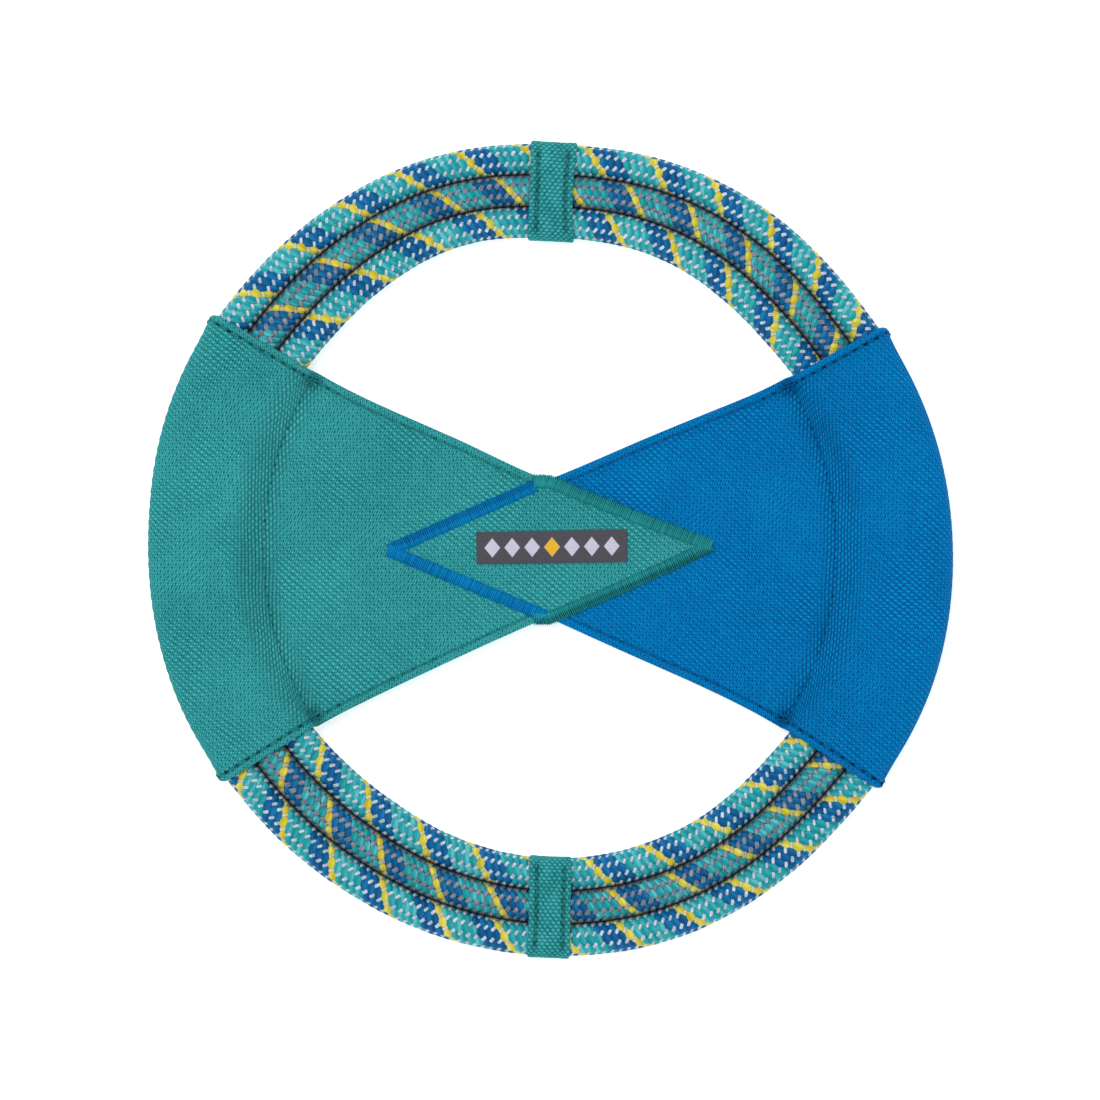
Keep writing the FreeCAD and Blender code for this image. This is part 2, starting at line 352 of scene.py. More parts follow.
class Finish:
    """A procedural material under construction."""

    def __init__(self, name, roughness, specular=0.25, sheen=0.0, sheen_tint=(255, 255, 255)):
        self.material = bpy.data.materials.new(name)
        self.material.use_nodes = True
        self.tree = self.material.node_tree
        self.shader = next(n for n in self.tree.nodes if n.type == "BSDF_PRINCIPLED")
        self.shader.inputs["Roughness"].default_value = roughness
        self.shader.inputs["Specular IOR Level"].default_value = specular
        self.shader.inputs["Sheen Weight"].default_value = sheen
        self.shader.inputs["Sheen Roughness"].default_value = 0.45
        self.shader.inputs["Sheen Tint"].default_value = linear(sheen_tint)

    def split(self, socket):
        node = self.tree.nodes.new("ShaderNodeSeparateXYZ")
        self.tree.links.new(socket, node.inputs[0])
        return [Wire(self.tree, output) for output in node.outputs]

    def uv(self, name):
        node = self.tree.nodes.new("ShaderNodeUVMap")
        node.uv_map = name
        return self.split(node.outputs["UV"])[:2]

    def place(self):
        """The point's own coordinates, in millimetres."""
        node = self.tree.nodes.new("ShaderNodeTexCoord")
        return [value * (1 / MM) for value in self.split(node.outputs["Object"])]

    def vector(self, *values):
        node = self.tree.nodes.new("ShaderNodeCombineXYZ")
        for socket, value in zip(node.inputs, values):
            feed(self.tree, socket, value)
        return Wire(self.tree, node.outputs[0])

    def noise(self, *values, detail=2.0):
        """Soft noise of about 0.3 to 0.7 at the given coordinates, one bump per unit."""
        node = self.tree.nodes.new("ShaderNodeTexNoise")
        feed(self.tree, node.inputs["Vector"], self.vector(*values))
        node.inputs["Scale"].default_value = 1.0
        node.inputs["Detail"].default_value = detail
        return Wire(self.tree, node.outputs[0])

    def chance(self, *values):
        """A fixed random number for each set of whole numbers."""
        node = self.tree.nodes.new("ShaderNodeTexWhiteNoise")
        feed(self.tree, node.inputs["Vector"], self.vector(*values))
        return Wire(self.tree, node.outputs["Value"])

    def mix(self, factor, first, second, blend="MIX"):
        """Colour first where factor is 0 and second where it is 1."""
        node = self.tree.nodes.new("ShaderNodeMix")
        node.data_type, node.blend_type = "RGBA", blend
        for place, value in ((0, factor), (6, first), (7, second)):
            feed(self.tree, node.inputs[place], value)
        return Wire(self.tree, node.outputs[2])

    def scaled(self, colour, factor):
        """A colour made lighter or darker by a factor."""
        return self.mix(1.0, colour, self.vector(factor, factor, factor), "MULTIPLY")

    def done(self, colour, height, depth_mm, strength):
        """Sets the colour, and a bump whose height of 0 to 1 stands for depth_mm."""
        feed(self.tree, self.shader.inputs["Base Color"], colour)
        node = self.tree.nodes.new("ShaderNodeBump")
        node.inputs["Strength"].default_value = strength
        node.inputs["Distance"].default_value = depth_mm * MM
        feed(self.tree, node.inputs["Height"], height)
        self.tree.links.new(node.outputs["Normal"], self.shader.inputs["Normal"])
        return self.material


# How far a woven thread wanders from its even place, in threads.
THREAD_DRIFT = 1.3


def turned(u, v, angle):
    return u * math.cos(angle) + v * math.sin(angle), v * math.cos(angle) - u * math.sin(angle)


def plain_weave(finish, u, v, warp_pitch, weft_pitch, lean):
    """A plain weave: its height, the painted highlight and shade on its floats, its column and row, and the
    groove between warps.

    Lean lifts the warp. Weft floats get painted highlight and warp floats painted shade, drawn out along one
    diagonal, with finer highlight strokes along the other."""
    a = u / warp_pitch + (finish.noise(u * 0.11, v * 0.05, 3.0) - 0.5) * THREAD_DRIFT
    b = v / weft_pitch + (finish.noise(u * 0.05, v * 0.11, 8.0) - 0.5) * THREAD_DRIFT
    column, row = a.floor(), b.floor()
    over_a = a.fract() * 2 - 1
    over_b = b.fract() * 2 - 1
    groove = over_a * over_a
    warp_lift = ((b + column - 0.5) * math.pi).cos()
    weft_lift = ((a + row - 0.5) * math.pi).cos() * -1
    warp = groove * -0.3 + 0.45 + warp_lift * 0.2 + lean
    weft = (over_b * over_b * -1 + 1) * 0.5 + weft_lift * 0.2 - lean
    float_highlight_and_shade = ((a + b) * math.pi).cos() * 0.12 + ((a * 3.0 - b) * math.pi).cos() * (lean * 0.2 + 0.22)
    return warp.larger(weft), float_highlight_and_shade, (column, row), groove


def needle_holes(finish, along, off, pitch, long, wide, seed):
    """Up to 1 in a seam's needle holes, each of its own depth, at distances along the seam and off it."""
    place = along / pitch + 0.5
    depth = finish.chance(place.floor(), seed, 0.0) * 0.5 + 0.5
    x = (place.fract() - 0.5) * (pitch / long)
    y = off * (1 / wide)
    return (x * x + y * y).ramp(1.6, 0.2) * depth


def weave_shade_and_tone(finish, height, float_highlight_and_shade, cell, fade):
    """The tone of woven threads with painted shade and highlight, 0 in the gaps between them to 1 on top of
    the lightest floats, with a random tone per float and over patches.
    """
    fleck = finish.chance(*cell, 3.0) - 0.5
    body = height.ramp(0.0, 0.42) * 0.36 + height.ramp(0.47, 0.8) * 0.48
    return (body + float_highlight_and_shade + fleck * 0.13 + (fade - 0.5) * 0.3).clamped()


def fibres(finish, u, v):
    """Fine streaky noise, about -0.1 to 0.1."""
    return (finish.noise(u * 3.4, v * 3.4, 9.0, detail=0.0) - 0.5) * 0.6


WARP_PITCH = 1.14
WEFT_PITCH = 0.95
FOLD_PITCH = 1.0
FOLD_TURN = math.radians(38)
SEWN_CLOTH = dict(roughness=0.85, specular=0.05, sheen=0.03)
# Each cloth colour as a pair: painted shade for the gaps between threads, and painted highlight for the tops
# of the floats.
TEAL = ((0, 94, 96), (76, 190, 191))
BLUE = ((0, 66, 128), (4, 149, 216))


def cloth(name, dark, light, turn):
    """Panel cloth. The folded hem is woven aslant, and more of the warp shows beside the tunnel seam.

    Ramps are in millimetres: hem is measured inwards from a hem's seam, seam outwards from the tunnel's."""
    finish = Finish(name, sheen_tint=light, **SEWN_CLOTH)
    raw_u, raw_v = finish.uv("weave")
    along, hem = finish.uv("hem")
    arc, seam = finish.uv("channel")
    band = hem.ramp(0.3, -0.3)
    inside = hem.ramp(-0.7, 0.9)
    slope = seam.ramp(-5.5, -1.0) * seam.ramp(12.5, 5.0) * inside
    u, v = turned(raw_u, raw_v, turn)
    lean = (finish.noise(u * 0.05, v * 0.04, 1.0, detail=1.0) - 0.5) * 0.5 + slope * 0.16
    height, float_highlight_and_shade, cell, groove = plain_weave(finish, u, v, WARP_PITCH, WEFT_PITCH, lean)
    folded, fold_highlight_and_shade = plain_weave(finish, *turned(along, hem, FOLD_TURN), FOLD_PITCH, FOLD_PITCH, 0.06)[:2]
    height = height + (folded - height) * band
    float_highlight_and_shade = float_highlight_and_shade * (slope * -0.8 + 1)
    float_highlight_and_shade = float_highlight_and_shade + (fold_highlight_and_shade - float_highlight_and_shade) * band
    hem_holes = needle_holes(finish, along, hem, EDGE_PITCH, long=0.8, wide=0.4, seed=4.0)
    seam_holes = needle_holes(finish, arc, seam, CHANNEL_PITCH, long=0.4, wide=0.34, seed=6.0)
    holes = hem_holes.larger(seam_holes * inside * 0.7)
    over = seam.ramp(-14.0, 2.0)
    hem_line = hem.abs().ramp(1.0, 0.1) * (over * 0.75 + 0.25)
    line = hem_line.larger(seam.abs().ramp(1.0, 0.0) * inside * 0.12)
    knot = hem.abs().ramp(4.6, 0.6) * seam.abs().ramp(5.0, 0.6)
    fade = finish.noise(raw_u * 0.03, raw_v * 0.03, 5.0, detail=4.0)
    tone = weave_shade_and_tone(finish, height, float_highlight_and_shade + fibres(finish, u, v), cell, fade)
    colour = finish.mix(tone, linear(dark), linear(light))
    # Painted shade: in the grooves between warps beside the tunnel seam, along the hem and tunnel seams, in
    # the needle holes, deeper over the ropes, and in the pucker where the seams meet.
    shade = (groove * slope * -0.55 + 1) * (line * -0.38 + 1)
    shade = shade * (holes * (over * -0.4 - 0.5) + 1) * (knot * -0.5 + 1)
    return finish.done(finish.scaled(colour, shade), height - holes, depth_mm=0.2, strength=0.8)


def strand(name, deep, colour, pale, bundles, stain=None):
    """Flat multifilament yarn in a few bundles, each float of its own tone, with painted shade between
    bundles.

    Stain colours the floats that pass over the yellow strand."""
    finish = Finish(name, roughness=0.6, specular=0.13, sheen=0.03, sheen_tint=pale)
    number, around = finish.uv("yarn")
    bundle = ((around * bundles + number * 0.5) * TURN).cos()
    fibre = finish.noise(number * 1.5, around * 30.0, 2.0, detail=3.0)
    tone = finish.chance((number + 0.5).floor(), around.floor(), 1.0)
    # The ramp below gives painted shade in the grooves between bundles and painted highlight on their ridges,
    # besides fibre noise and a random tone per float.
    light = bundle * 0.2 + (fibre - 0.5) * 1.2 + (tone - 0.5) * 0.45 + 0.54
    colour, pale = linear(colour), linear(pale)
    if stain:
        crossed = number.floor() * 2 - around.floor() + 1
        off = ((crossed * (1 / STRANDS) + 0.5).fract() - 0.5).abs()
        stained = off.ramp(0.09, 0.05)
        colour = finish.mix(stained, colour, linear(stain))
        pale = finish.mix(stained, pale, linear(stain))
    shade = finish.mix(light.ramp(0.0, 0.5), linear(deep), colour)
    shade = finish.mix(light.ramp(0.5, 1.0), shade, pale)
    # Painted shade where the strand lies against the next rope, as much as the gap map gives.
    gap = finish.uv("gap")[0]
    shade = finish.mix(gap, shade, linear(GAP_SHADE))
    return finish.done(shade, light, depth_mm=0.14, strength=0.6)


def thread(name, dark, light):
    """Twisted sewing thread or satin thread, with painted highlight on top and painted shade on its sides."""
    finish = Finish(name, roughness=0.7, specular=0.08)
    number, around = finish.uv("thread")
    ply = ((number * 9.0 + around * 2.0) * TURN).cos()
    top = ((around - 0.25) * TURN).cos()
    tone = finish.chance(number.floor(), 1.0, 2.0)
    # Painted highlight on the thread's top and painted shade on its sides, with ply ridges and a random tone
    # per thread.
    shade = (ply * 0.08 + tone * 0.26 + top.ramp(0.3, 1.0) * 0.5 + 0.08).clamped()
    colour = finish.mix(shade, linear(dark), linear(light))
    return finish.done(colour, ply, depth_mm=0.04, strength=0.5)


def soft_solid(name, dark, light, grain_mm, roughness=0.9, specular=0.2):
    """Foam, filler or moulded rubber, grained by its own place."""
    finish = Finish(name, roughness, specular)
    grain = finish.noise(*[value * (1 / grain_mm) for value in finish.place()], detail=4.0)
    colour = finish.mix(grain.ramp(0.3, 0.7), linear(dark), linear(light))
    return finish.done(colour, grain, depth_mm=0.15, strength=0.6)


# Painted shade for strands where they lie against the next rope.
GAP_SHADE = (0, 26, 34)
CREAM = (226, 212, 176)
DULL_CREAM = (196, 184, 146)
# Each yarn: a deep colour, its own colour and a pale colour along a ramp that gives painted shade in the
# grooves between bundles and painted highlight on their ridges, and also carries fibre noise and a random tone
# per float.
YARNS = {
    "T": strand("teal_yarn", (4, 130, 138), (34, 162, 168), (104, 198, 202), bundles=3),
    "B": strand("blue_yarn", (0, 66, 112), (0, 94, 148), (22, 122, 178), bundles=3),
    "Y": strand("yellow_yarn", (186, 168, 44), (216, 202, 62), (236, 226, 116), bundles=3),
    "W": strand("white_yarn", (126, 158, 174), (194, 204, 216), (240, 242, 250), bundles=5, stain=CREAM),
    "G": strand("grey_yarn", (72, 98, 112), (124, 132, 146), (172, 172, 182), bundles=5, stain=DULL_CREAM),
}
# The core filler is grey, darker than white core yarn, as painted shade in the gaps between strands.
core_filler = soft_solid("core_filler", (88, 88, 96), (132, 130, 134), grain_mm=0.8)
sleeve_rubber = soft_solid(
    "sleeve_rubber", (38, 42, 48), (62, 66, 72), grain_mm=1.4, roughness=0.55, specular=0.4)
foam = soft_solid("foam", (196, 196, 190), (228, 228, 222), grain_mm=0.7)
CLOTHS = {
    "teal": cloth("teal_cloth", *TEAL, math.radians(0.4)),
    "blue": cloth("blue_cloth", *BLUE, math.radians(-2.0)),
}
# Thread colours as pairs: painted shade for the sides and painted highlight for the top.
THREADS = {
    "teal": thread("teal_thread", (8, 98, 100), (46, 148, 150)),
    "blue": thread("blue_thread", (0, 70, 128), (0, 112, 176)),
}


# ---------------------------------------------------------------- rope hoops

RINGS_PER_LAY = 64
STRAND_R = 4.05
# Each hoop: the colours of its coloured strands, the sizes of coloured and pale strands, and its marks.
# A mark is a number of whole turns that the braid has made since the first mark, and the angle in degrees at
# which it has made them. The angles are a measuring script's readings of the yellow strands in the photo.
COLOURED = dict(width=2.45, thick=0.74, rise=0.22)
WHITE = dict(width=1.0, thick=0.48, rise=0.25)
MIDDLE_COLOURED = dict(width=2.1, thick=0.72, rise=0.24)
MIDDLE_GREY = dict(width=1.4, thick=0.56, rise=0.29)
HOOPS = {
    "outer": dict(order="YBBBTTTT", coloured=COLOURED, pale=WHITE, pale_yarn="W", marks=[
        (0, 36.5), (3, 64.4), (5, 83.3), (7, 101.6), (9, 120.0), (11, 139.0), (19, 216.3), (22, 244.6),
        (24, 263.3), (26, 281.7), (28, 300.2), (30, 319.4), (38, 396.5)]),
    "middle": dict(order="YTTTTBBB", coloured=MIDDLE_COLOURED, pale=MIDDLE_GREY, pale_yarn="G", marks=[
        (0, 35.4), (3, 66.1), (5, 86.3), (8, 116.5), (10, 137.4), (18, 219.9), (20, 241.1), (22, 261.4),
        (25, 291.7), (28, 322.0), (35, 395.4)]),
    "inner": dict(order="YTTTTBBB", coloured=COLOURED, pale=WHITE, pale_yarn="W", marks=[
        (0, 44.6), (2, 67.6), (3, 78.5), (6, 111.4), (8, 134.2), (16, 222.6), (18, 246.5), (19, 257.6),
        (21, 278.5), (23, 300.9), (25, 322.8), (32, 404.6)]),
}
# At a hoop's joint the braid necks in under a sleeve.
NECK_SCALE = 0.855
HALF_SLEEVE = 11.95
SLEEVE_BORE = 4.16
SLEEVE_LIP = 4.5
FILLER_R = 3.4
# Beside another rope, strands are pressed flat and given painted shade, more and more between these
# distances from the rope's middle.
TOUCH = (HOOP_R["outer"] - HOOP_R["middle"]) / 2 + 0.03
PRESSED = (3.8, 4.25)
PAINTED_SHADE_SPAN = (3.82, 4.12)
DEEPEST_SHADE = 0.97
# Powers under 1 square off the round section of a strand, sideways and upwards.
SQUARE_SIDE = 0.8
SQUARE_TOP = 0.9
# How sharply a strand passes from over its neighbours to under them.
CROSSING = 1.7


def joint_of(name):
    """The angle and half length, in radians, of the sleeve that closes a hoop."""
    low, high = box_mm(f"{name}_rope_sleeve")
    middle = math.atan2(low[1] + high[1], low[0] + high[0])
    return middle, HALF_SLEEVE / HOOP_R[name]


def against(name, sideways, near, far):
    """0 up to near from a rope's middle and 1 from far on, on the sides where another rope lies."""
    neighbour = np.where(sideways > 0, name != "outer", name != "inner")
    return neighbour * smooth_step(near, far, np.abs(sideways))


def on_rope(name, angle, theta, out):
    """Points at an angle round the ring, and theta round the rope, out from the rope's middle.

    Where two ropes lie side by side they press each other flat."""
    sideways = out * np.sin(theta)
    sideways = sideways + np.sign(sideways) * against(name, sideways, *PRESSED) * (TOUCH - np.abs(sideways))
    r = HOOP_R[name] + sideways
    return relaxed(np.stack([r * np.cos(angle), r * np.sin(angle), MID_Z + out * np.cos(theta)], -1))


def strands(name, hand, members, width, thick, rise, sides):
    """Some strands of one hand of a hoop's braid, as one shape."""
    hoop = HOOP_R[name]
    numbers, degrees = zip(*HOOPS[name]["marks"])
    lays = numbers[-1]
    steps = lays * RINGS_PER_LAY
    t = (np.arange(steps) / steps)[:, None]
    reached = np.radians(np.interp(t * lays, numbers, degrees))
    around = np.arange(sides) / sides * TURN
    across = width / 2 * np.sign(np.cos(around)) * np.abs(np.cos(around)) ** SQUARE_SIDE
    up = thick / 2 * np.sign(np.sin(around)) * np.abs(np.sin(around)) ** SQUARE_TOP
    climb = math.atan2(STRAND_R * lays, hoop)
    joint, half = joint_of(name)
    faces = wrapped_quads(steps, sides, True)
    parts = []
    for member in members:
        turns = hand * lays * t + member / STRANDS
        over = hand * np.tanh(CROSSING * np.cos(STRANDS * TURN * turns)) / math.tanh(CROSSING)
        slow, quick = np.cos(TURN * (37 * t + member * 0.3)), np.cos(TURN * (101 * t + member * 0.7))
        uneven = 0.05 * slow + 0.04 * quick
        pinch = 0.9 + 0.1 * over + uneven
        out = STRAND_R + (rise + 0.6 * uneven) * over + up
        angle = reached - hand * across * pinch * math.sin(climb) / hoop
        theta = TURN * turns + across * pinch * math.cos(climb) / STRAND_R
        off = np.abs((angle - joint + math.pi) % TURN - math.pi)
        out = out * (1 - (1 - NECK_SCALE) * smooth_step(half * 1.12, half * 0.97, off))
        points = on_rope(name, angle, theta, out).reshape(-1, 3)
        # How much painted shade the strand gets where it lies against the next rope.
        gap = DEEPEST_SHADE * against(name, out * np.sin(theta), *PAINTED_SHADE_SPAN)
        maps = {"yarn": pairs(STRANDS * turns, member + around / TURN), "gap": pairs(gap, 0.0)}
        parts.append((points, faces, maps))
    few = 16
    start = parts[0][0][: few * sides]
    flip = volume(start - start.mean(0), wrapped_quads(few, sides, False)) < 0
    return merged([(points, faces[:, ::-1] if flip else faces, maps) for points, faces, maps in parts])


def filler(name):
    """The lumpy core that a hoop's sheath is braided on."""
    steps, sides = 480, 44
    t = (np.arange(steps) / steps)[:, None]
    theta = (np.arange(sides) / sides * TURN)[None]
    out = FILLER_R + 0.12 * np.cos(11 * theta + TURN * 12 * t)
    return on_rope(name, TURN * t, theta, out).reshape(-1, 3), wrapped_quads(steps, sides, True), {}


def joint_sleeve(name):
    """The sleeve over a hoop's joint: out over one end, along the outside, over the other and back inside."""
    joint, half = joint_of(name)
    steps, sides = 80, 36
    t = np.linspace(0, 1, steps, endpoint=False)[:, None]
    lip, far_lip, end = 0.03, 0.47, 0.5
    run = np.interp(t, [0, lip, far_lip, end, 1.0], [0.0, 0.02, 0.98, 1.0, 0.0])
    stops = [0, lip, 2 * lip, 0.44, far_lip, end, 1.0]
    out = np.interp(t, stops, [SLEEVE_BORE, SLEEVE_LIP, ROPE_R, ROPE_R, SLEEVE_LIP, SLEEVE_BORE, SLEEVE_BORE])
    theta = (np.arange(sides) / sides * TURN)[None]
    points = on_rope(name, joint - half + 2 * half * run, theta, out).reshape(-1, 3)
    return points, facing_out(points, wrapped_quads(steps, sides, True)), {}


for name, plan in HOOPS.items():
    rope, sheath = f"{name}_rope", (f"{name}_rope_sheath",)
    for letter, word in (("Y", "yellow"), ("T", "teal"), ("B", "blue")):
        members = [k for k, c in enumerate(plan["order"]) if c == letter]
        shape = strands(name, 1, members, sides=8, **plan["coloured"])
        piece(f"{rope}_{word}_strands", shape, YARNS[letter], "rope_sheath", *sheath)
    for word, members in (("a", range(4)), ("b", range(4, 8))):
        shape = strands(name, -1, members, sides=6, **plan["pale"])
        piece(f"{rope}_pale_strands_{word}", shape, YARNS[plan["pale_yarn"]], "rope_sheath", *sheath)
    piece(f"{rope}_filler", filler(name), core_filler, "rope_core", f"{rope}_core")
    piece(f"{rope}_joint_sleeve", joint_sleeve(name), sleeve_rubber, "rope_sleeve", f"{rope}_sleeve")


# ---------------------------------------------------------------- cloth panels

SIDES = {"teal": -1, "blue": 1}
# Heights and depths of the cloth's relief, in millimetres.
HEM_RISE = 0.55
HEM_WIDE = 3.9
HEM_FLARE = 0.9
SEAM_DEPTH = 0.28
KNOT_DEPTH = 0.5
KNOT_INSET = 3.4
ROPE_DIP = 0.32
WRINKLE = 0.2
CROSSING_SINK = 0.55
CORNER_PULL = 1.6
TIP_CUT = 0.8
THINNEST = 0.12
# How far round the outer rope the wrap's line goes on, in radians past its outermost point.
PAST_RIM = -0.9
# How far each hem runs outside its straight line at these distances from the middle of the ring, worked out
# from a measuring script's readings of the hems in the photo and in a render.
HEM_X = np.array([-APEX, 0, 12, 25, 38, 48, 56, 64, 72, 99, 130])
HEM_PULL = {
    ("teal", 1): (0, -3.0, -3.4, -3.0, -3.45, -3.8, -4.1, -3.7, -2.8, 0.25, 3.6),
    ("teal", -1): (0, -2.9, -3.3, -3.5, -3.5, -3.5, -3.5, -3.3, -2.4, 1.7, 6.2),
    ("blue", 1): (0, -2.1, -2.8, -3.1, -3.8, -4.4, -5.2, -5.6, -4.9, -2.7, 0.0),
    ("blue", -1): (0, -2.3, -2.35, -2.65, -3.0, -3.2, -3.25, -2.7, -1.7, 3.4, 9.0),
}
HEM_EASE = 4.0
HEM_FINE_X = np.linspace(-APEX - 20, 150, 1701)
# Rows across a panel: close together on the hem, at these distances from its edge, and even between the hems.
HEM_ROWS = np.array([
    0, 0.07, 0.18, 0.34, 0.55, 0.85, 1.2, 1.55, 1.85, 2.1, 2.3, 2.5, 2.7, 2.95, 3.3, 3.7, 4.2, 4.8,
])
MIDDLE_ROWS = np.linspace(0, 1, 66)[1:-1]
ROW_SHARE = np.concatenate([np.zeros(HEM_ROWS.size), MIDDLE_ROWS, np.ones(HEM_ROWS.size)])
ROW_INSET = np.concatenate([HEM_ROWS, HEM_ROWS[-1] * (1 - 2 * MIDDLE_ROWS), -HEM_ROWS[::-1]])
# Distances from a seam or an edge at which rows run along it.
NEAR_EDGE = np.array([1.3, 0.9, 0.6, 0.35, 0.15])
FLAT_R = 74.0
RUN_STEP = 0.9
WRAP_STEP = 0.8
RIM_ROWS = 9.6
# The hems' seams start this far from the ring's axis, and the rim seam's ends are at this angle.
HEM_SEWN_FROM = 5.0
RIM_ANGLE = 34.0
# The lower hem's stitches are numbered from here, so that the holes of the two hems differ.
LOWER_HEM_START = 500.0


def softened(line, reach):
    """A bent line redrawn evenly with its corners eased over reach, its two ends kept."""
    step = 0.1
    line = np.array(line, float)
    length = np.r_[0, np.cumsum(np.hypot(*np.diff(line, axis=0).T))]
    at = np.linspace(0, length[-1], int(length[-1] / step) + 1)
    even = np.column_stack([np.interp(at, length, line[:, k]) for k in (0, 1)])
    pad = int(3 * reach / step)
    full = np.concatenate([2 * even[0] - even[pad:0:-1], even, 2 * even[-1] - even[-2:-pad - 2:-1]])
    weights = kernel(np.arange(-pad, pad + 1) * step, reach)
    return np.column_stack([np.convolve(full[:, k], weights, "valid") for k in (0, 1)])


def eased_pull(values):
    """A hem's pull at HEM_FINE_X, with the table's bends eased."""
    fine = np.interp(HEM_FINE_X, HEM_X, values)
    weights = kernel(np.arange(-15, 15.05, 0.1), HEM_EASE)
    return np.convolve(np.pad(fine, len(weights) // 2, mode="edge"), weights, "valid")


HEM_FINE_PULL = {key: eased_pull(values) for key, values in HEM_PULL.items()}


class Layer:
    """One layer of a panel. X runs from the ring's axis to the rim, and S is measured along the cloth."""

    def __init__(self, name, face):
        self.name, self.face, self.side = name, face, SIDES[name]
        self.on_top = (name == "teal") == (face > 0)
        self.level = 2 * CLOTH_T if self.on_top else 0.0
        inner, outer = HOOP_R["inner"], HOOP_R["outer"]
        foot = CHANNEL_R - inner
        leave = math.atan2(self.level, foot) % TURN - math.acos(WRAP_OUT / math.hypot(foot, self.level))
        over_pad = self.level + PAD_HALF
        flat = [(0, self.level), (PAD_IN_R - PAD_SLOPE, self.level), (PAD_IN_R, over_pad),
                (PAD_OUT_R, over_pad), (CHANNEL_R, self.level)]
        wrap = [flat[-1]]
        over_inner, over_outer = np.linspace(leave, math.pi / 2, 40), np.linspace(math.pi / 2, PAST_RIM, 60)
        for hoop, turns in ((inner, over_inner), (outer, over_outer)):
            wrap += [(hoop + WRAP_OUT * math.cos(a), WRAP_OUT * math.sin(a)) for a in turns]
        first, second = softened(flat, reach=1.6), softened(wrap, reach=0.7)
        self.line = np.concatenate([first, second[1:]])
        self.length = np.r_[0, np.cumsum(np.hypot(*np.diff(self.line, axis=0).T))]
        self.channel = self.length[len(first) - 1]
        self.rim = float(self.length[np.argmax(self.line[:, 0])])
        self.slopes = np.gradient(self.line, self.length, axis=0)

    def edge(self, x, way):
        """How far the panel reaches from its middle line at x, towards +Y or -Y."""
        return way * (SLOPE * (x + APEX) + np.interp(x, HEM_FINE_X, HEM_FINE_PULL[self.name, way]))

    def row_y(self, x, share, inset):
        low, high = self.edge(x, -1), self.edge(x, 1)
        fits = np.minimum(1, (high - low) * math.cos(LEAN) / (2.4 * HEM_ROWS[-1]))
        return low + (high - low) * share + inset * fits / math.cos(LEAN)

    def x_at(self, r, share, inset):
        """Where a row crosses the circle of radius r, on the panel's own side."""
        low, high = np.zeros(np.broadcast(r, share).shape), np.full(np.broadcast(r, share).shape, 130.0)
        for halving in range(32):
            middle = (low + high) / 2
            beyond = middle ** 2 + self.row_y(middle, share, inset) ** 2 > r ** 2
            low, high = np.where(beyond, low, middle), np.where(beyond, middle, high)
        return (low + high) / 2

    def radius_at(self, s):
        return np.interp(s, self.length, self.line[:, 0])

    def seam_end(self, angle):
        """Where the layer stops at the rim seam, which lies a little above the middle on the blue panel."""
        above = np.zeros(np.shape(angle))
        if self.name == "blue":
            above = np.radians(12 + 12 * np.minimum(np.abs(np.degrees(angle)) / 35, 1.1) ** 2)
        return self.rim - self.face * WRAP_OUT * above

    def hem_relief(self, edge, along, u, v, s):
        """The hem's raised band, with the groove and dents that its stitches pull into it."""
        beat = np.cos(TURN * along / EDGE_PITCH)
        sunk = 0.24 + 0.2 * smooth_step(-6, 4, s - self.channel)
        rise = HEM_RISE * (1 + 0.16 * fine_wrinkle(u * 1.7, v * 1.7))
        rise -= sunk * bump(edge - EDGE_INSET, 0.5) * (0.75 + 0.25 * beat)
        rise += 0.08 * (1 - beat) * bump(edge - 1.2, 1.0)
        return rise * smooth_step(HEM_WIDE + 0.4, HEM_WIDE - 0.5, edge)

    def seam_relief(self, edge, gap, angle, u, v):
        """The tunnel seam's groove, the puckers beside it and the knots where it meets the hems."""
        tick = np.cos(TURN * angle * CHANNEL_R / CHANNEL_PITCH)
        groove = SEAM_DEPTH * bump(gap, 0.6) * (0.8 + 0.2 * tick)
        pucker = 0.1 * bump(np.abs(gap) - 2.2, 1.6) * (fine_wrinkle(v * 1.3, u * 0.5) - tick * 0.4)
        off_knot = edge - KNOT_INSET
        knot = bump(gap, 3.0) * bump(off_knot, 2.6) * (1 + 0.5 * np.cos(3 * np.arctan2(off_knot, gap)))
        return smooth_step(1.8, 3.4, edge) * (pucker - groove) - KNOT_DEPTH * knot

    def soft_relief(self, edge, gap, r, flat_r, u, v, s):
        """Dips between the ropes under the cloth, and soft wrinkles away from the seams."""
        tops = smooth_step(self.rim - 5, self.rim - 9, s) * smooth_step(self.channel + 5, self.channel + 9, s)
        between = [(HOOP_R["middle"] + HOOP_R[name]) / 2 for name in ("inner", "outer")]
        dips = sum(bump(flat_r - place, 2.0) for place in between)
        quiet = smooth_step(self.rim - 3, self.rim - 12, s) * smooth_step(1.5, 7, edge)
        quiet = quiet * smooth_step(0, 1.5, np.abs(gap)) * smooth_step(20, 34, r)
        soft = WRINKLE * wrinkle(u + 40 * self.side, v) + 0.05 * fine_wrinkle(u, v)
        return soft * quiet - ROPE_DIP * tops * dips

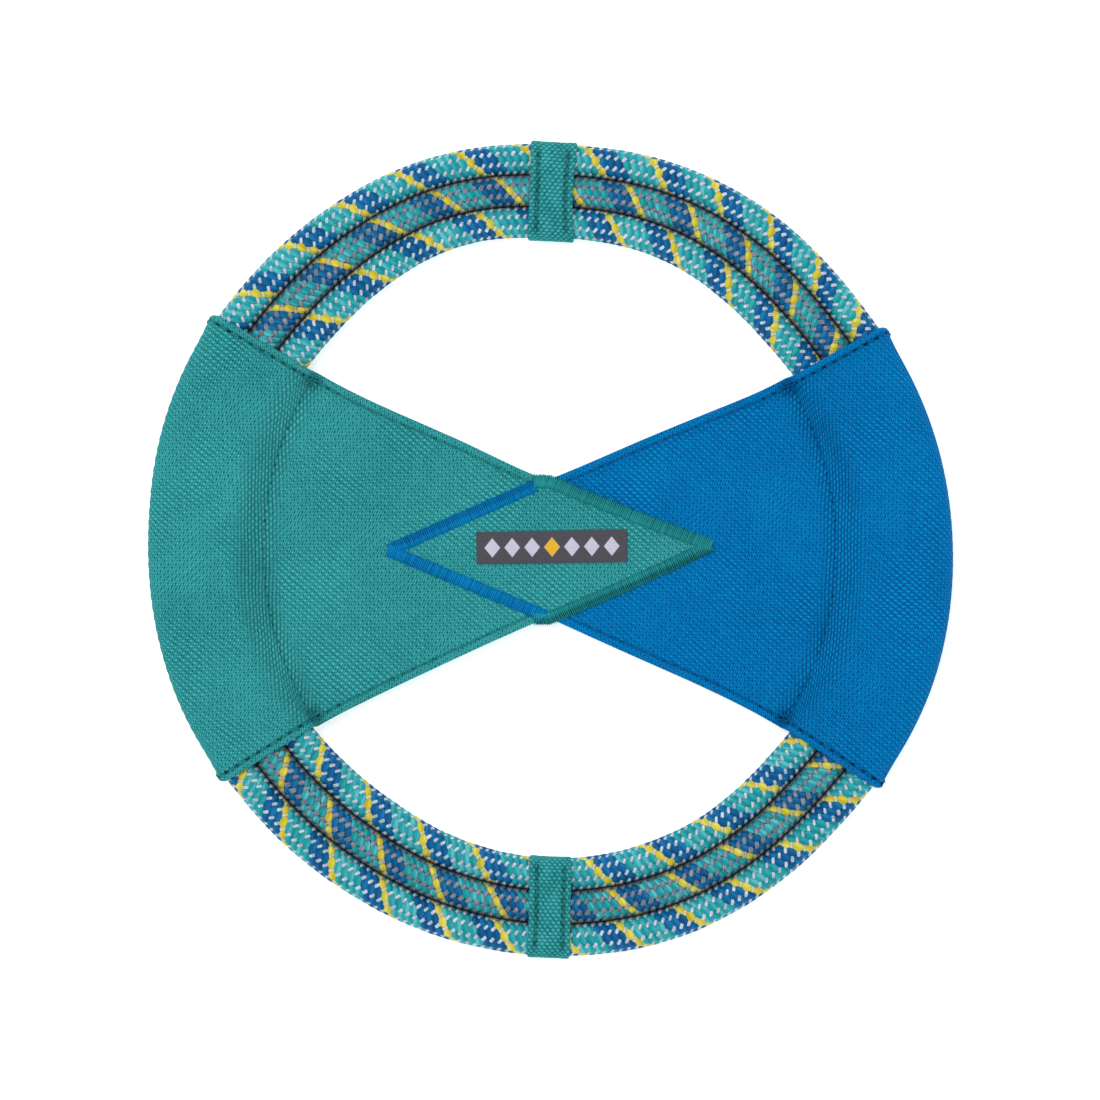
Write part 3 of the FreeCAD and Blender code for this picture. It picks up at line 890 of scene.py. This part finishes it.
    def surface(self, x, y, s):
        """Outer points, inner points and uv maps at places of the cloth, with hems, seams and wrinkles."""
        r = np.maximum(np.hypot(x, y), 1e-6)
        flat_r, flat_h = (np.interp(s, self.length, self.line[:, k]) for k in (0, 1))
        dr, dh = (np.interp(s, self.length, self.slopes[:, k]) for k in (0, 1))
        size = np.hypot(dr, dh)
        dr, dh = dr / size, dh / size
        cosine, sine = x / r, y / r
        angle = np.arctan2(y, x)
        u, v = s * cosine, s * sine
        along = u * math.cos(LEAN) + np.abs(v) * math.sin(LEAN)
        edge = np.minimum(self.edge(x, 1) - y, y - self.edge(x, -1)) * math.cos(LEAN)
        gap = s - self.channel
        hemmed = smooth_step(-3, 4, x)
        rise = hemmed * self.hem_relief(edge, along, u, v, s)
        rise += self.seam_relief(edge, gap, angle, u, v) + self.soft_relief(edge, gap, r, flat_r, u, v, s)
        other = (SLOPE * (APEX - x) - np.abs(y)) * math.cos(LEAN)
        sink = CROSSING_SINK * smooth_step(0.8, -3.2, other) * smooth_step(80, 45, r)
        flare = HEM_FLARE * bump(np.maximum(edge, 0), 6.5) * smooth_step(self.rim - 9, self.rim - 2, s)
        rise += flare - sink if self.on_top else flare + sink
        lowest = flare - CLOTH_T
        full = np.minimum(rounding(edge, 0.6 + 0.5 * hemmed), rounding(self.seam_end(angle) - s, 0.7))
        full = np.minimum(full, rounding(x + APEX - TIP_CUT, 0.5))
        corner = CORNER_PULL * np.clip(1 - edge / 2.6, 0, 1) ** 2 * smooth_step(self.rim - 7, self.rim - 1, s)
        middle, half = (rise + lowest) / 2, np.maximum((rise - lowest) / 2, THINNEST) * full
        faces = []
        for out in (middle + half, middle - half):
            radius = flat_r - dh * out - corner
            height = MID_Z + self.face * (flat_h + dr * out)
            faces.append(relaxed(np.stack([radius * cosine * self.side, radius * sine, height], -1)))
        start = np.where(v > 0, 0.0, LOWER_HEM_START * EDGE_PITCH)
        maps = {
            "weave": pairs(u * self.side, v),
            "hem": pairs(along + start, edge - EDGE_INSET + 12 * (1 - hemmed)),
            "channel": pairs(angle * CHANNEL_R, gap),
        }
        return *faces, maps

    def sheet(self):
        """The whole layer as a closed sheet: columns of even X near the middle, then columns of even S."""
        first = -APEX + TIP_CUT
        tip = first + np.repeat(np.array([0, 0.06, 0.2, 0.5])[:, None], ROW_SHARE.size, 1)
        x_flat = self.x_at(FLAT_R, ROW_SHARE, ROW_INSET)[None]
        run = np.linspace(0, 1, 118)[:-1][:, None]
        x_one = np.concatenate([tip, first + RUN_STEP + (x_flat - first - RUN_STEP) * run])
        y_one = self.row_y(x_one, ROW_SHARE, ROW_INSET)
        rising = self.length[: np.searchsorted(self.length, self.channel)]
        s_one = np.interp(np.hypot(x_one, y_one), self.line[: len(rising), 0], rising)
        s_flat = float(np.interp(FLAT_R, self.line[: len(rising), 0], rising))
        by_seam = self.channel + np.concatenate([-NEAR_EDGE, [0], NEAR_EDGE[::-1]])
        before = np.arange(s_flat, self.channel - 1.7, RUN_STEP)
        after = np.arange(self.channel + 1.9, self.rim - 10, WRAP_STEP)
        up_to = np.concatenate([before, by_seam, after])
        x_rim = self.x_at(RIM_R, ROW_SHARE, ROW_INSET)
        stop = self.seam_end(np.arctan2(self.row_y(x_rim, ROW_SHARE, ROW_INSET), x_rim))
        last = self.rim - RIM_ROWS
        share = np.linspace(0, 1, 18)[:-1, None]
        by_rim = stop - np.append(NEAR_EDGE, [0.05, 0])[:, None]
        tail = np.concatenate([last + (stop - NEAR_EDGE[0] - last) * share, by_rim])
        s_two = np.concatenate([np.repeat(up_to[:, None], ROW_SHARE.size, 1), tail])
        x_two = self.x_at(self.radius_at(s_two), ROW_SHARE, ROW_INSET)
        y_two = self.row_y(x_two, ROW_SHARE, ROW_INSET)
        places = [np.concatenate(both) for both in ((x_one, x_two), (y_one, y_two), (s_one, s_two))]
        return shell(*self.surface(*places))

    def line_points(self, x, y, s):
        """Points and outward normals of the outer surface along a seam, and its uv maps."""
        outer, inner, maps = self.surface(x, y, s)
        normal = outer - inner
        normal /= np.maximum(np.linalg.norm(normal, axis=-1, keepdims=True), 1e-9)
        return outer, normal, maps

    def hem_stitches(self, way):
        s = np.linspace(8, self.seam_end(math.radians(HEM_ANGLE)) - 0.8, 2400)
        share, inset = np.full(s.shape, (way + 1) / 2), np.full(s.shape, -way * EDGE_INSET)
        x = self.x_at(self.radius_at(s), share, inset)
        y = self.row_y(x, share, inset)
        keep = x > HEM_SEWN_FROM
        points, normals, maps = self.line_points(x[keep], y[keep], s[keep])
        return stitch_run(points, normals, maps["hem"][:, 0], EDGE_PITCH, half_wide=0.34, gap=0.26, lift=0.05)

    def channel_stitches(self):
        angle = np.radians(np.linspace(-LAST_ANGLE, LAST_ANGLE, 3000))
        x, y = CHANNEL_R * np.cos(angle), CHANNEL_R * np.sin(angle)
        inside = np.minimum(self.edge(x, 1) - y, y - self.edge(x, -1)) * math.cos(LEAN) > EDGE_INSET
        points, normals, maps = self.line_points(x[inside], y[inside], np.full(inside.sum(), self.channel))
        along = maps["channel"][:, 0]
        return stitch_run(points, normals, along, CHANNEL_PITCH, half_wide=0.2, gap=0.3, lift=-0.14)

    def tacks(self, way):
        """Short stitches that fan out where the tunnel seam meets a hem's seam."""
        angle = np.radians(np.linspace(15, 45, 1200)) * way
        x, y = CHANNEL_R * np.cos(angle), CHANNEL_R * np.sin(angle)
        inside = way * (self.edge(x, way) - y) * math.cos(LEAN)
        start = angle[np.argmin(np.abs(inside - EDGE_INSET))]
        heading = np.radians(np.array([20, 66, 118, 160, 205, 252, 300, 338]))[:, None]
        long = np.array([2.7, 1.8, 2.4, 2.0, 2.6, 2.9, 1.9, 2.3])[:, None]
        tau = np.linspace(0, 1, 7)[None]
        x = CHANNEL_R * math.cos(start) + np.cos(heading) * (0.35 + long * tau)
        y = CHANNEL_R * math.sin(start) + np.sin(heading) * (0.35 + long * tau)
        points, normals = self.line_points(x, y, self.channel + np.hypot(x, y) - CHANNEL_R)[:2]
        bow = stitch_bow(tau)
        centre = points + normals * (0.14 * bow - 0.12)[..., None]
        return capsules(centre, np.gradient(centre, axis=1), normals, 0.24 * bow, 0.2 * bow)

    def rim_stitches(self):
        angle = np.radians(np.linspace(-RIM_ANGLE, RIM_ANGLE, 3000))
        x, y = RIM_R * np.cos(angle), RIM_R * np.sin(angle)
        points, normals = self.line_points(x, y, self.seam_end(angle) - 0.25)[:2]
        return stitch_run(points, normals, angle * RIM_R, RIM_PITCH, half_wide=0.25, gap=0.3, lift=0.0)


def stitch_bow(tau):
    """How full a stitch is along its length: 0 at its ends and 1 between them."""
    return np.sqrt(np.maximum(1 - (2 * tau - 1) ** 4, 0))


def stitch_run(points, normals, along, pitch, half_wide, gap, lift):
    """Separate stitches that follow a line, each from one needle hole nearly to the next."""
    tangents = np.gradient(points, along, axis=0)
    first, last = math.ceil(along.min() / pitch), math.floor(along.max() / pitch)
    tau = np.linspace(0, 1, 8)[None]
    at = (np.arange(first, last)[:, None] + gap / 2 + (1 - gap) * tau) * pitch
    order = np.argsort(along)

    def pick(values):
        return np.stack([np.interp(at, along[order], values[order, k]) for k in range(3)], -1)

    bow = stitch_bow(tau)
    normal, tangent = pick(normals), pick(tangents)
    centre = pick(points) + normal * (lift + 0.1 * bow - 0.1)[..., None]
    return capsules(centre, tangent, normal, half_wide * bow, half_wide * 0.8 * bow)


def sewing(front, back):
    """The stitches of a panel's hems, tunnel seam and rim seam, on both faces."""
    shapes = {"edge": [], "channel": [], "rim": [front.rim_stitches()]}
    for layer in (front, back):
        shapes["edge"] += [layer.hem_stitches(1), layer.hem_stitches(-1)]
        shapes["channel"] += [layer.channel_stitches(), layer.tacks(1), layer.tacks(-1)]
    return {run: merged(parts) for run, parts in shapes.items()}


for name in SIDES:
    layers = {"front": Layer(name, 1), "back": Layer(name, -1)}
    sewn = [
        piece(f"{name}_{run}_stitches", shape, THREADS[name], f"{name}_thread", f"{name}_{run}_stitching")
        for run, shape in sewing(*layers.values()).items()
    ]
    for word, layer in layers.items():
        shape, node = layer.sheet(), f"{name}_{word}_panel"
        made = piece(f"{name}_{word}_cloth", shape, CLOTHS[name], f"{name}_cloth", node)


def pad_shape(name):
    """Thin foam between a panel's layers, crowned in the middle and thinned to its edges."""
    level = CLOTH_T if name == "teal" else -CLOTH_T
    low, high = PAD_IN_R + 0.6, PAD_OUT_R - 0.5
    r = np.linspace(low, high, 26)[:, None]
    share = np.linspace(-1, 1, 60)[None]
    reach = SLOPE * (APEX - PAD_SHORT + r * PAD_CORNER) - PAD_MARGIN
    angle = np.arcsin(np.clip(reach / r, 0, 0.99)) * share
    inside = np.minimum(np.minimum(r - low, high - r), (1 - np.abs(share)) * 40)
    half = 0.66 * rounding(inside, 4.0) * (1 + 0.05 * wrinkle(r, angle * 60))
    x, y = SIDES[name] * r * np.cos(angle), r * np.sin(angle)
    top, bottom = (np.stack([x, y, MID_Z + level + sign * half], -1) for sign in (1, -1))
    return shell(top, bottom, {})


for name in SIDES:
    piece(f"{name}_foam_pad", pad_shape(name), foam, "foam_pad", f"{name}_pad")


# ---------------------------------------------------------------- diamond and label

SATIN_PITCH = 0.62
SATIN_SIZE = 0.38
# Each satin band's outer line: its distance from the ring's axis at the diamond's tip and at the waist, its
# bulge half way, how far it runs past the waist, and its width.
SATIN = {
    ("blue", 1): dict(tip=1.3, waist=23.0, bulge=0.0, past=-5.0, width=4.1),
    ("blue", -1): dict(tip=2.1, waist=22.6, bulge=0.0, past=-1.8, width=3.85),
    ("teal", 1): dict(tip=2.8, waist=22.1, bulge=-0.5, past=5.0, width=3.9),
    ("teal", -1): dict(tip=0.6, waist=22.6, bulge=0.5, past=5.0, width=3.9),
}
# The border's stitches turn from square across a hem to straight down past the waist, between these places.
SLANT_ENDS = 4.0
SLANT_FULL = -2.0


def top_height(face, x, y):
    """How high the outermost cloth lies near the ring's middle, outwards from the ropes' middle plane."""
    highest = np.full(x.shape, -9.0)
    for name, side in SIDES.items():
        layer = Layer(name, face)
        own_x = x * side
        inside = np.minimum(layer.edge(own_x, 1) - y, y - layer.edge(own_x, -1)) > 0.02
        points = layer.surface(own_x, y, np.hypot(own_x, y))[0]
        highest = np.where(inside, np.maximum(highest, (points[..., 2] - MID_Z) * face), highest)
    return highest


def eased_over(height):
    """Heights along each thread, lifted over whatever it passes and eased."""
    for ease in (False, True, True):
        padded = np.pad(height, ((0, 0), (1, 1)), mode="edge")
        before, after = padded[:, :-2], padded[:, 2:]
        lifted = np.maximum(height, np.maximum(before, after))
        height = (before + 2 * height + after) / 4 if ease else lifted
    return height


def satin_edge(layer, way, x):
    """A satin band's outer line at x, as a distance from the ring's axis, and the slant of its stitches."""
    band = SATIN[layer.name, way]
    share = np.minimum((x + APEX) / APEX, 1)
    y = band["tip"] + (band["waist"] - band["tip"]) * share + 4 * band["bulge"] * share * (1 - share)
    return y, LEAN * smooth_step(SLANT_ENDS, SLANT_FULL, x)


def on_cloth(layer, way, x, y, slant, depth):
    """Places at depths into a satin band from its outer line, and how high the cloth lies there."""
    px = (x + np.sin(slant) * depth) * layer.side
    py = way * (y - np.cos(slant) * depth)
    return px, py, np.maximum(eased_over(top_height(layer.face, px, py)), 0.5)


def satin_stitches(layer, way, rng):
    """Stitches side by side across one satin band, thinner towards their inner ends on the loose band."""
    past, width = SATIN[layer.name, way]["past"], SATIN[layer.name, way]["width"]
    x = np.arange(-APEX + 0.3, past, SATIN_PITCH * math.cos(LEAN))
    x = x + rng.uniform(-0.05, 0.05, x.size)
    y, slant = satin_edge(layer, way, x)
    starts = -0.05 + rng.uniform(-0.2, 0.12, x.size)
    room = y / math.cos(LEAN) + (1.4 if way < 0 else 0.6)
    stops = np.minimum(width + rng.uniform(-0.12, 0.2, x.size), room)
    tau = np.linspace(0, 1, 9)[None]
    depth = starts[:, None] + (stops - starts)[:, None] * tau
    px, py, h = on_cloth(layer, way, x[:, None], y[:, None], slant[:, None], depth)
    arch = np.sqrt(np.maximum(1 - np.abs(2 * tau - 1) ** 3.2, 0))
    lift = 0.4 + 0.08 * (way < 0) + 0.1 * layer.on_top
    centre = relaxed(np.stack([px, py, MID_Z + layer.face * (h - 0.15 + lift * arch)], -1))
    tangent = np.gradient(centre, axis=1)
    side = np.cross(tangent, (0.0, 0.0, layer.face))
    normal = np.cross(side, tangent)
    normal /= np.linalg.norm(normal, axis=-1, keepdims=True)
    loose = smooth_step(0.62, 0.4, tau) * (0.5 if way == layer.side else 0.1)
    size = SATIN_SIZE * (0.4 + 0.6 * arch) * (1 - loose)
    return capsules(centre, tangent, normal, size, size * 0.75)


def underlay(layer, way):
    """Threads laid along a satin band before its stitches, seen between them, all in the thread's darkest
    colour as painted shade.
    """
    past, width = SATIN[layer.name, way]["past"], SATIN[layer.name, way]["width"]
    x = np.linspace(-APEX + 1.0, past - 0.5, 130)[None]
    y, slant = satin_edge(layer, way, x)
    depth = np.minimum(np.arange(0.45, width - 0.3, 0.52)[:, None], y / math.cos(LEAN))
    px, py, h = on_cloth(layer, way, x, y, slant, depth)
    centre = relaxed(np.stack([px, py, MID_Z + layer.face * (h + 0.02)], -1))
    normal = np.broadcast_to((0.0, 0.0, layer.face), centre.shape)
    size = 0.3 * np.sqrt(rounding(np.minimum(x + APEX - 1, past - 0.5 - x), 0.6))
    points, faces, maps = capsules(centre, np.gradient(centre, axis=1), normal, size, size * 0.6)
    # The underlay takes the darkest colour of the thread's ramp: painted shade.
    painted_shade_around = 0.75
    maps["thread"][:, 1] = painted_shade_around
    return points, faces, maps


def satin(layer_name):
    """Satin stitches over the apex edges of one panel, on both faces of the ring."""
    rng = np.random.default_rng(17)
    parts = []
    for layer in (Layer(layer_name, 1), Layer(layer_name, -1)):
        for way in (1, -1):
            parts.append(satin_stitches(layer, way, rng))
            if way == layer.side:
                parts.append(underlay(layer, way))
    return merged(parts)


# Satin colours as pairs: painted shade for the sides and painted highlight for the top.
blue_satin = thread("blue_satin", (0, 62, 112), (0, 146, 210))
green_satin = thread("green_satin", (0, 66, 72), (44, 164, 164))
piece("left_satin_stitches", satin("blue"), blue_satin, "blue_satin", "left_satin_border")
piece("right_satin_stitches", satin("teal"), green_satin, "green_satin", "right_satin_border")

LABEL_W = 45.0
LABEL_H = 9.7
LABEL_TILT = math.radians(0.87)
LABEL_OFF = 0.3
LOZENGE_PITCH = LABEL_W / 7.6


def label_material():
    """A dark woven label with one amber lozenge among pale ones."""
    finish = Finish("label_weave", roughness=0.7, specular=0.3, sheen=0.1)
    u, v = finish.uv("label")
    rib = ((v / 0.42) * TURN).cos() * 0.5 + 0.5
    warp = ((u / 0.36) * TURN).cos() * 0.5 + 0.5
    height = rib * 0.6 + warp * 0.4
    place = u / LOZENGE_PITCH + 0.5
    cell = place.floor().abs()
    off = (place.fract() - 0.5) * LOZENGE_PITCH
    lozenge = off.abs() * (1 / (LOZENGE_PITCH * 0.40)) + v.abs() * (1 / (LABEL_H * 0.30))
    pale = lozenge.ramp(1.05, 0.93) * cell.ramp(3.4, 3.2)
    colour = finish.mix(pale, linear((76, 73, 80)), linear((205, 200, 220)))
    colour = finish.mix(pale * cell.ramp(0.6, 0.4), colour, linear((236, 184, 42)))
    # Painted shade in the grooves between ribs and lighter rib tops, with a random tone over patches.
    shade = height * 0.3 + 0.82 + (finish.noise(u * 0.4, v * 0.4, 1.0) - 0.5) * 0.2
    return finish.done(finish.scaled(colour, shade), height + pale * 0.3, depth_mm=0.06, strength=0.7)


def refined(length, steps):
    """Places from edge to edge of a sheet, measured from its middle, closer together near its edges."""
    near = np.array([0, 0.08, 0.25, 0.6])
    return np.concatenate([near, np.linspace(1.2, length - 1.2, steps), length - near[::-1]]) - length / 2


def label_shape():
    centre = sum(box_mm("label")) / 2
    x, y = np.meshgrid(refined(LABEL_W, 90), refined(LABEL_H, 22), indexing="ij")
    edge = np.minimum(LABEL_W / 2 - np.abs(x), LABEL_H / 2 - np.abs(y))
    pulled = 0.06 * bump(np.maximum(np.abs(x) - 2, 0) - 20, 6.0)
    mid = 2 * CLOTH_T + 0.3 + 0.06 * wrinkle(x * 2, y * 2) + 0.1 * smooth_step(0, 1.2, edge) - pulled
    px = centre[0] + LABEL_OFF + x * math.cos(LABEL_TILT) - y * math.sin(LABEL_TILT)
    py = centre[1] + x * math.sin(LABEL_TILT) + y * math.cos(LABEL_TILT)
    half = 0.17 * rounding(edge, 0.45)
    top, bottom = (np.stack([px, py, MID_Z + mid + sign * half], -1) for sign in (1, -1))
    return shell(top, bottom, {"label": pairs(x, y)})


label = piece("woven_label", label_shape(), label_material(), "label_cloth", "label")


# ---------------------------------------------------------------- keepers

KEEPER_W = 13.7
KEEPER_SEAM = 4.45
KEEPER_PITCH = 2.6
KEEPER_FROM_R = 90.0
KEEPER_SPAN = 31.0
# Round the three ropes: the straight runs, the bends, and once all the way round.
STRAIGHT = HOOP_R["outer"] - HOOP_R["inner"]
BEND = math.pi * WRAP_OUT
KEEPER_ROUND = 2 * STRAIGHT + 2 * BEND
# Each keeper: how far sideways its middle lies at the inner and outer edge of the rope band, how far it bows
# between them, its width there and half way as shares of the strap's, the tilt of its ends and how far its
# inner end stands off the rope.
KEEPERS = {
    "top": dict(near=0.25, far=1.4, bow=-0.43, at_ends=1.03, half_way=0.93, tilt=-0.035, stand_off=0.5),
    "bottom": dict(near=0.15, far=-0.6, bow=0.18, at_ends=0.925, half_way=0.895, tilt=-0.012, stand_off=0.0),
}
# Half of the columns across a strap, as distances from its edge: close together there and at the sewn fold.
KEEPER_ROWS = np.array([
    0, 0.07, 0.2, 0.45, 0.8, 1.2, 1.6, 1.95, 2.2, 2.4, 2.6, 2.9, 3.3, 3.8, 4.4, 5.0, 5.6, 6.2,
])


def ribbed_cloth():
    """Strap cloth with a heavier warp, and two sewn rows that fade out before the strap's bends."""
    finish = Finish("keeper_ribbed", sheen_tint=TEAL[1], **SEWN_CLOTH)
    along, across = finish.uv("strap")
    lean = (finish.noise(along * 0.2, across * 0.2, 1.0) - 0.5) * 0.6 - 0.2
    height, float_highlight_and_shade, cell = plain_weave(finish, across, along, 0.84, 1.05, lean)[:3]
    off = across.abs() - KEEPER_SEAM
    from_middle = (along - KEEPER_ROUND / 2).abs()
    sewn = from_middle.ramp(11.5, 13.0) * from_middle.ramp(23.0, 20.0) * -1 + 1
    holes = needle_holes(finish, along, off, KEEPER_PITCH, long=0.7, wide=0.4, seed=5.0) * sewn
    patches = finish.noise(along * 0.9, across * 1.6, 7.0).ramp(0.3, 0.6)
    line = off.abs().ramp(1.2, 0.4) * (patches * 0.85 + 0.15) * sewn
    fade = finish.noise(along * 0.08, across * 0.1, 4.0, detail=3.0)
    tone = weave_shade_and_tone(finish, height, float_highlight_and_shade * 0.6 + fibres(finish, across, along) - 0.08, cell, fade)
    # Painted shade along the sewn rows, in patches, and in the needle holes.
    shade = (line * -0.46 + 0.95) * (holes * -0.4 + 1)
    colour = finish.mix(tone, linear(TEAL[0]), linear(TEAL[1]))
    return finish.done(finish.scaled(colour, shade), height - holes - line, depth_mm=0.22, strength=0.8)


def keeper_path(along, out):
    """Radius and height round the ropes, from the middle of the back, and the normal's outward part."""
    inner, outer = HOOP_R["inner"], HOOP_R["outer"]
    s = along % KEEPER_ROUND
    stops = np.cumsum([STRAIGHT / 2, BEND, STRAIGHT, BEND])
    a, b = (s - stops[0]) / WRAP_OUT, (s - stops[2]) / WRAP_OUT
    on_run = [s < stop for stop in stops]
    to_outer = (inner + outer) / 2 + s
    on_front = outer - (s - stops[1])
    back_again = inner + (s - stops[3])
    normal_r = np.select(on_run, [0.0, np.sin(a), 0.0, -np.sin(b)], 0.0)
    normal_h = np.select(on_run, [-1.0, -np.cos(a), 1.0, np.cos(b)], -1.0)
    r = np.select(on_run, [to_outer, outer, on_front, inner], back_again) + (WRAP_OUT + out) * normal_r
    return r, (WRAP_OUT + out) * normal_h, normal_r


def keeper_points(name, along, across, out):
    r, h, normal_r = keeper_path(along, out)
    plan = KEEPERS[name]
    share = (r - KEEPER_FROM_R) / KEEPER_SPAN
    bowed = 4 * share * (1 - share)
    width = plan["at_ends"] + (plan["half_way"] - plan["at_ends"]) * bowed
    across = across * width * (1 - 0.06 * np.abs(normal_r) ** 10)
    x = across + plan["near"] + (plan["far"] - plan["near"]) * share + plan["bow"] * bowed
    r = r - plan["stand_off"] * np.clip(1 - share, 0, 1)
    y = (1 if name == "top" else -1) * np.sqrt(r ** 2 - (across * 0.6) ** 2) + plan["tilt"] * across
    return relaxed(np.stack([x, y, MID_Z + h], -1))


def keeper_relief(along, across):
    """How far the strap's outside stands off its even surface: folded edges, sewn rows and the lap behind."""
    folded = smooth_step(KEEPER_SEAM - 0.5, KEEPER_SEAM + 0.3, np.abs(across))
    groove = bump(np.abs(across) - KEEPER_SEAM, 0.45)
    beat = np.cos(TURN * along / KEEPER_PITCH)
    from_back = np.minimum(along % KEEPER_ROUND, KEEPER_ROUND - along % KEEPER_ROUND)
    front = smooth_step(16, 24, from_back)
    lap = smooth_step(6.2, 5.6, from_back)
    ends = 0.35 + 0.65 * smooth_step(9, 7, np.abs(from_back - KEEPER_ROUND / 2))
    front_relief = 0.3 * folded + 0.06 * fine_wrinkle(along * 1.5, across * 1.5)
    back_relief = 0.25 * lap - 0.3
    return front * front_relief + (1 - front) * back_relief - 0.07 * groove * ends * (0.6 + 0.4 * beat)


def keeper_shape(name):
    """The strap as a closed band that goes once round the ropes."""
    along = np.linspace(0, KEEPER_ROUND, 191)[:-1][:, None]
    half_width = KEEPER_W / 2
    across = np.concatenate([KEEPER_ROWS - half_width, [0], half_width - KEEPER_ROWS[::-1]])[None]
    relief = keeper_relief(along, across)
    full = rounding(half_width - np.abs(across), 0.6)
    middle, half = (relief - CLOTH_T) / 2, np.maximum((relief + CLOTH_T) / 2, THINNEST) * full
    outer, inner = (keeper_points(name, along, across, middle + way * half) for way in (1, -1))
    ring = np.concatenate([outer, inner[:, -2:0:-1]], 1)
    points, faces = ring.reshape(-1, 3), wrapped_quads(along.size, ring.shape[1], True)
    if volume(points, faces) < 0:
        faces = faces[:, ::-1]
    return points, faces, {"strap": pairs(along, np.concatenate([across, across[:, -2:0:-1]], 1))}


def keeper_threads(name):
    """Two sewn rows, in the runs where they show: on the back and on the front, not round the bends."""
    parts = []
    middle = KEEPER_ROUND / 2
    for low, high in ((0.01, 17.0), (middle - 12, middle + 12), (KEEPER_ROUND - 17.0, KEEPER_ROUND - 0.01)):
        for off in (-KEEPER_SEAM, KEEPER_SEAM):
            along = np.linspace(low, high, 500)
            across = np.full(along.shape, off)
            relief = keeper_relief(along, across)
            points = keeper_points(name, along, across, relief)
            normals = points - keeper_points(name, along, across, relief - 0.5)
            normals /= np.linalg.norm(normals, axis=-1, keepdims=True)
            parts.append(stitch_run(points, normals, along, KEEPER_PITCH, half_wide=0.26, gap=0.3, lift=0.02))
    return merged(parts)


keeper_cloth = ribbed_cloth()
# Its colours are painted shade for the sides and painted highlight for the top.
keeper_thread = thread("keeper_thread", (0, 80, 84), (50, 150, 150))
for name in KEEPERS:
    keeper, shape = f"{name}_keeper", keeper_threads(name)
    sewn = piece(f"{keeper}_stitches", shape, keeper_thread, "keeper_thread", f"{keeper}_stitching")
    strap = piece(f"{keeper}_strap", keeper_shape(name), keeper_cloth, "keeper_cloth", keeper)


# ---------------------------------------------------------------- floor, light and camera

FLOOR_GLOW = 0.55
FLOOR_R = 3.0
FLOOR_BEND_R = 1.2


def floor(level):
    """A pale floor that curves up far away, with a little glow of its own that keeps it near white."""
    finish = Finish("floor", roughness=0.9, specular=0.1)
    x, y = finish.place()[:2]
    grain = finish.noise(x * 0.02, y * 0.02, 0.0)
    pale = finish.mix(grain, linear((240, 240, 240)), linear((246, 246, 246)))
    made = finish.done(pale, grain, depth_mm=0.05, strength=0.1)
    finish.shader.inputs["Emission Color"].default_value = (1.0, 1.0, 1.0, 1.0)
    finish.shader.inputs["Emission Strength"].default_value = FLOOR_GLOW
    mesh = bpy.data.meshes.new("floor")
    bend = np.linspace(0, math.pi / 3, 9)
    rising = [(FLOOR_R + FLOOR_BEND_R * math.sin(a), FLOOR_BEND_R * (1 - math.cos(a))) for a in bend]
    profile = [(0.0, 0.0)] + rising
    around = np.arange(64) / 64 * TURN
    points = [(r * math.cos(a), r * math.sin(a), level + h) for r, h in profile for a in around]
    mesh.from_pydata(points, [], wrapped_quads(len(profile), around.size, False).tolist())
    mesh.polygons.foreach_set("use_smooth", np.ones(len(mesh.polygons), bool))
    mesh.materials.append(made)
    plane = bpy.data.objects.new("floor", mesh)
    bpy.context.scene.collection.objects.link(plane)
    plane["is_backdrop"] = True


def lamp(name, place, size, power):
    light = bpy.data.lights.new(name, "AREA")
    light.shape, light.size, light.energy = "DISK", size, power
    made = bpy.data.objects.new(name, light)
    made.location = place
    made.rotation_euler = Vector([-c for c in place]).to_track_quat("-Z", "Y").to_euler()
    bpy.context.scene.collection.objects.link(made)


visual_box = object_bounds()
floor(min(0.0, float(visual_box[0][2])))
lamp("overhead", (-0.5, 0.55, 1.7), size=1.1, power=14.5)
lamp("fill", (0.9, -0.7, 1.3), size=1.0, power=2.5)
world = bpy.data.worlds.new("studio")
world.use_nodes = True
backdrop = next(n for n in world.node_tree.nodes if n.type == "BACKGROUND")
backdrop.inputs["Color"].default_value = (0.93, 0.96, 1.0, 1.0)
backdrop.inputs["Strength"].default_value = 0.6
bpy.context.scene.world = world
bpy.context.scene.view_settings.view_transform = "Standard"

# The camera looks straight down from far away on a square this wide, a little below the ring's middle.
VIEW_SPAN = 0.3276
VIEW_Y = -0.0003
CAMERA_AWAY = 1.6
lens = bpy.data.cameras.new("camera")
lens.sensor_width = 36.0
lens.lens = lens.sensor_width * CAMERA_AWAY / VIEW_SPAN
camera = bpy.data.objects.new("camera", lens)
camera.location = (0.0, VIEW_Y, CAMERA_AWAY + MID_Z * MM)
bpy.context.scene.collection.objects.link(camera)
bpy.context.scene.camera = camera
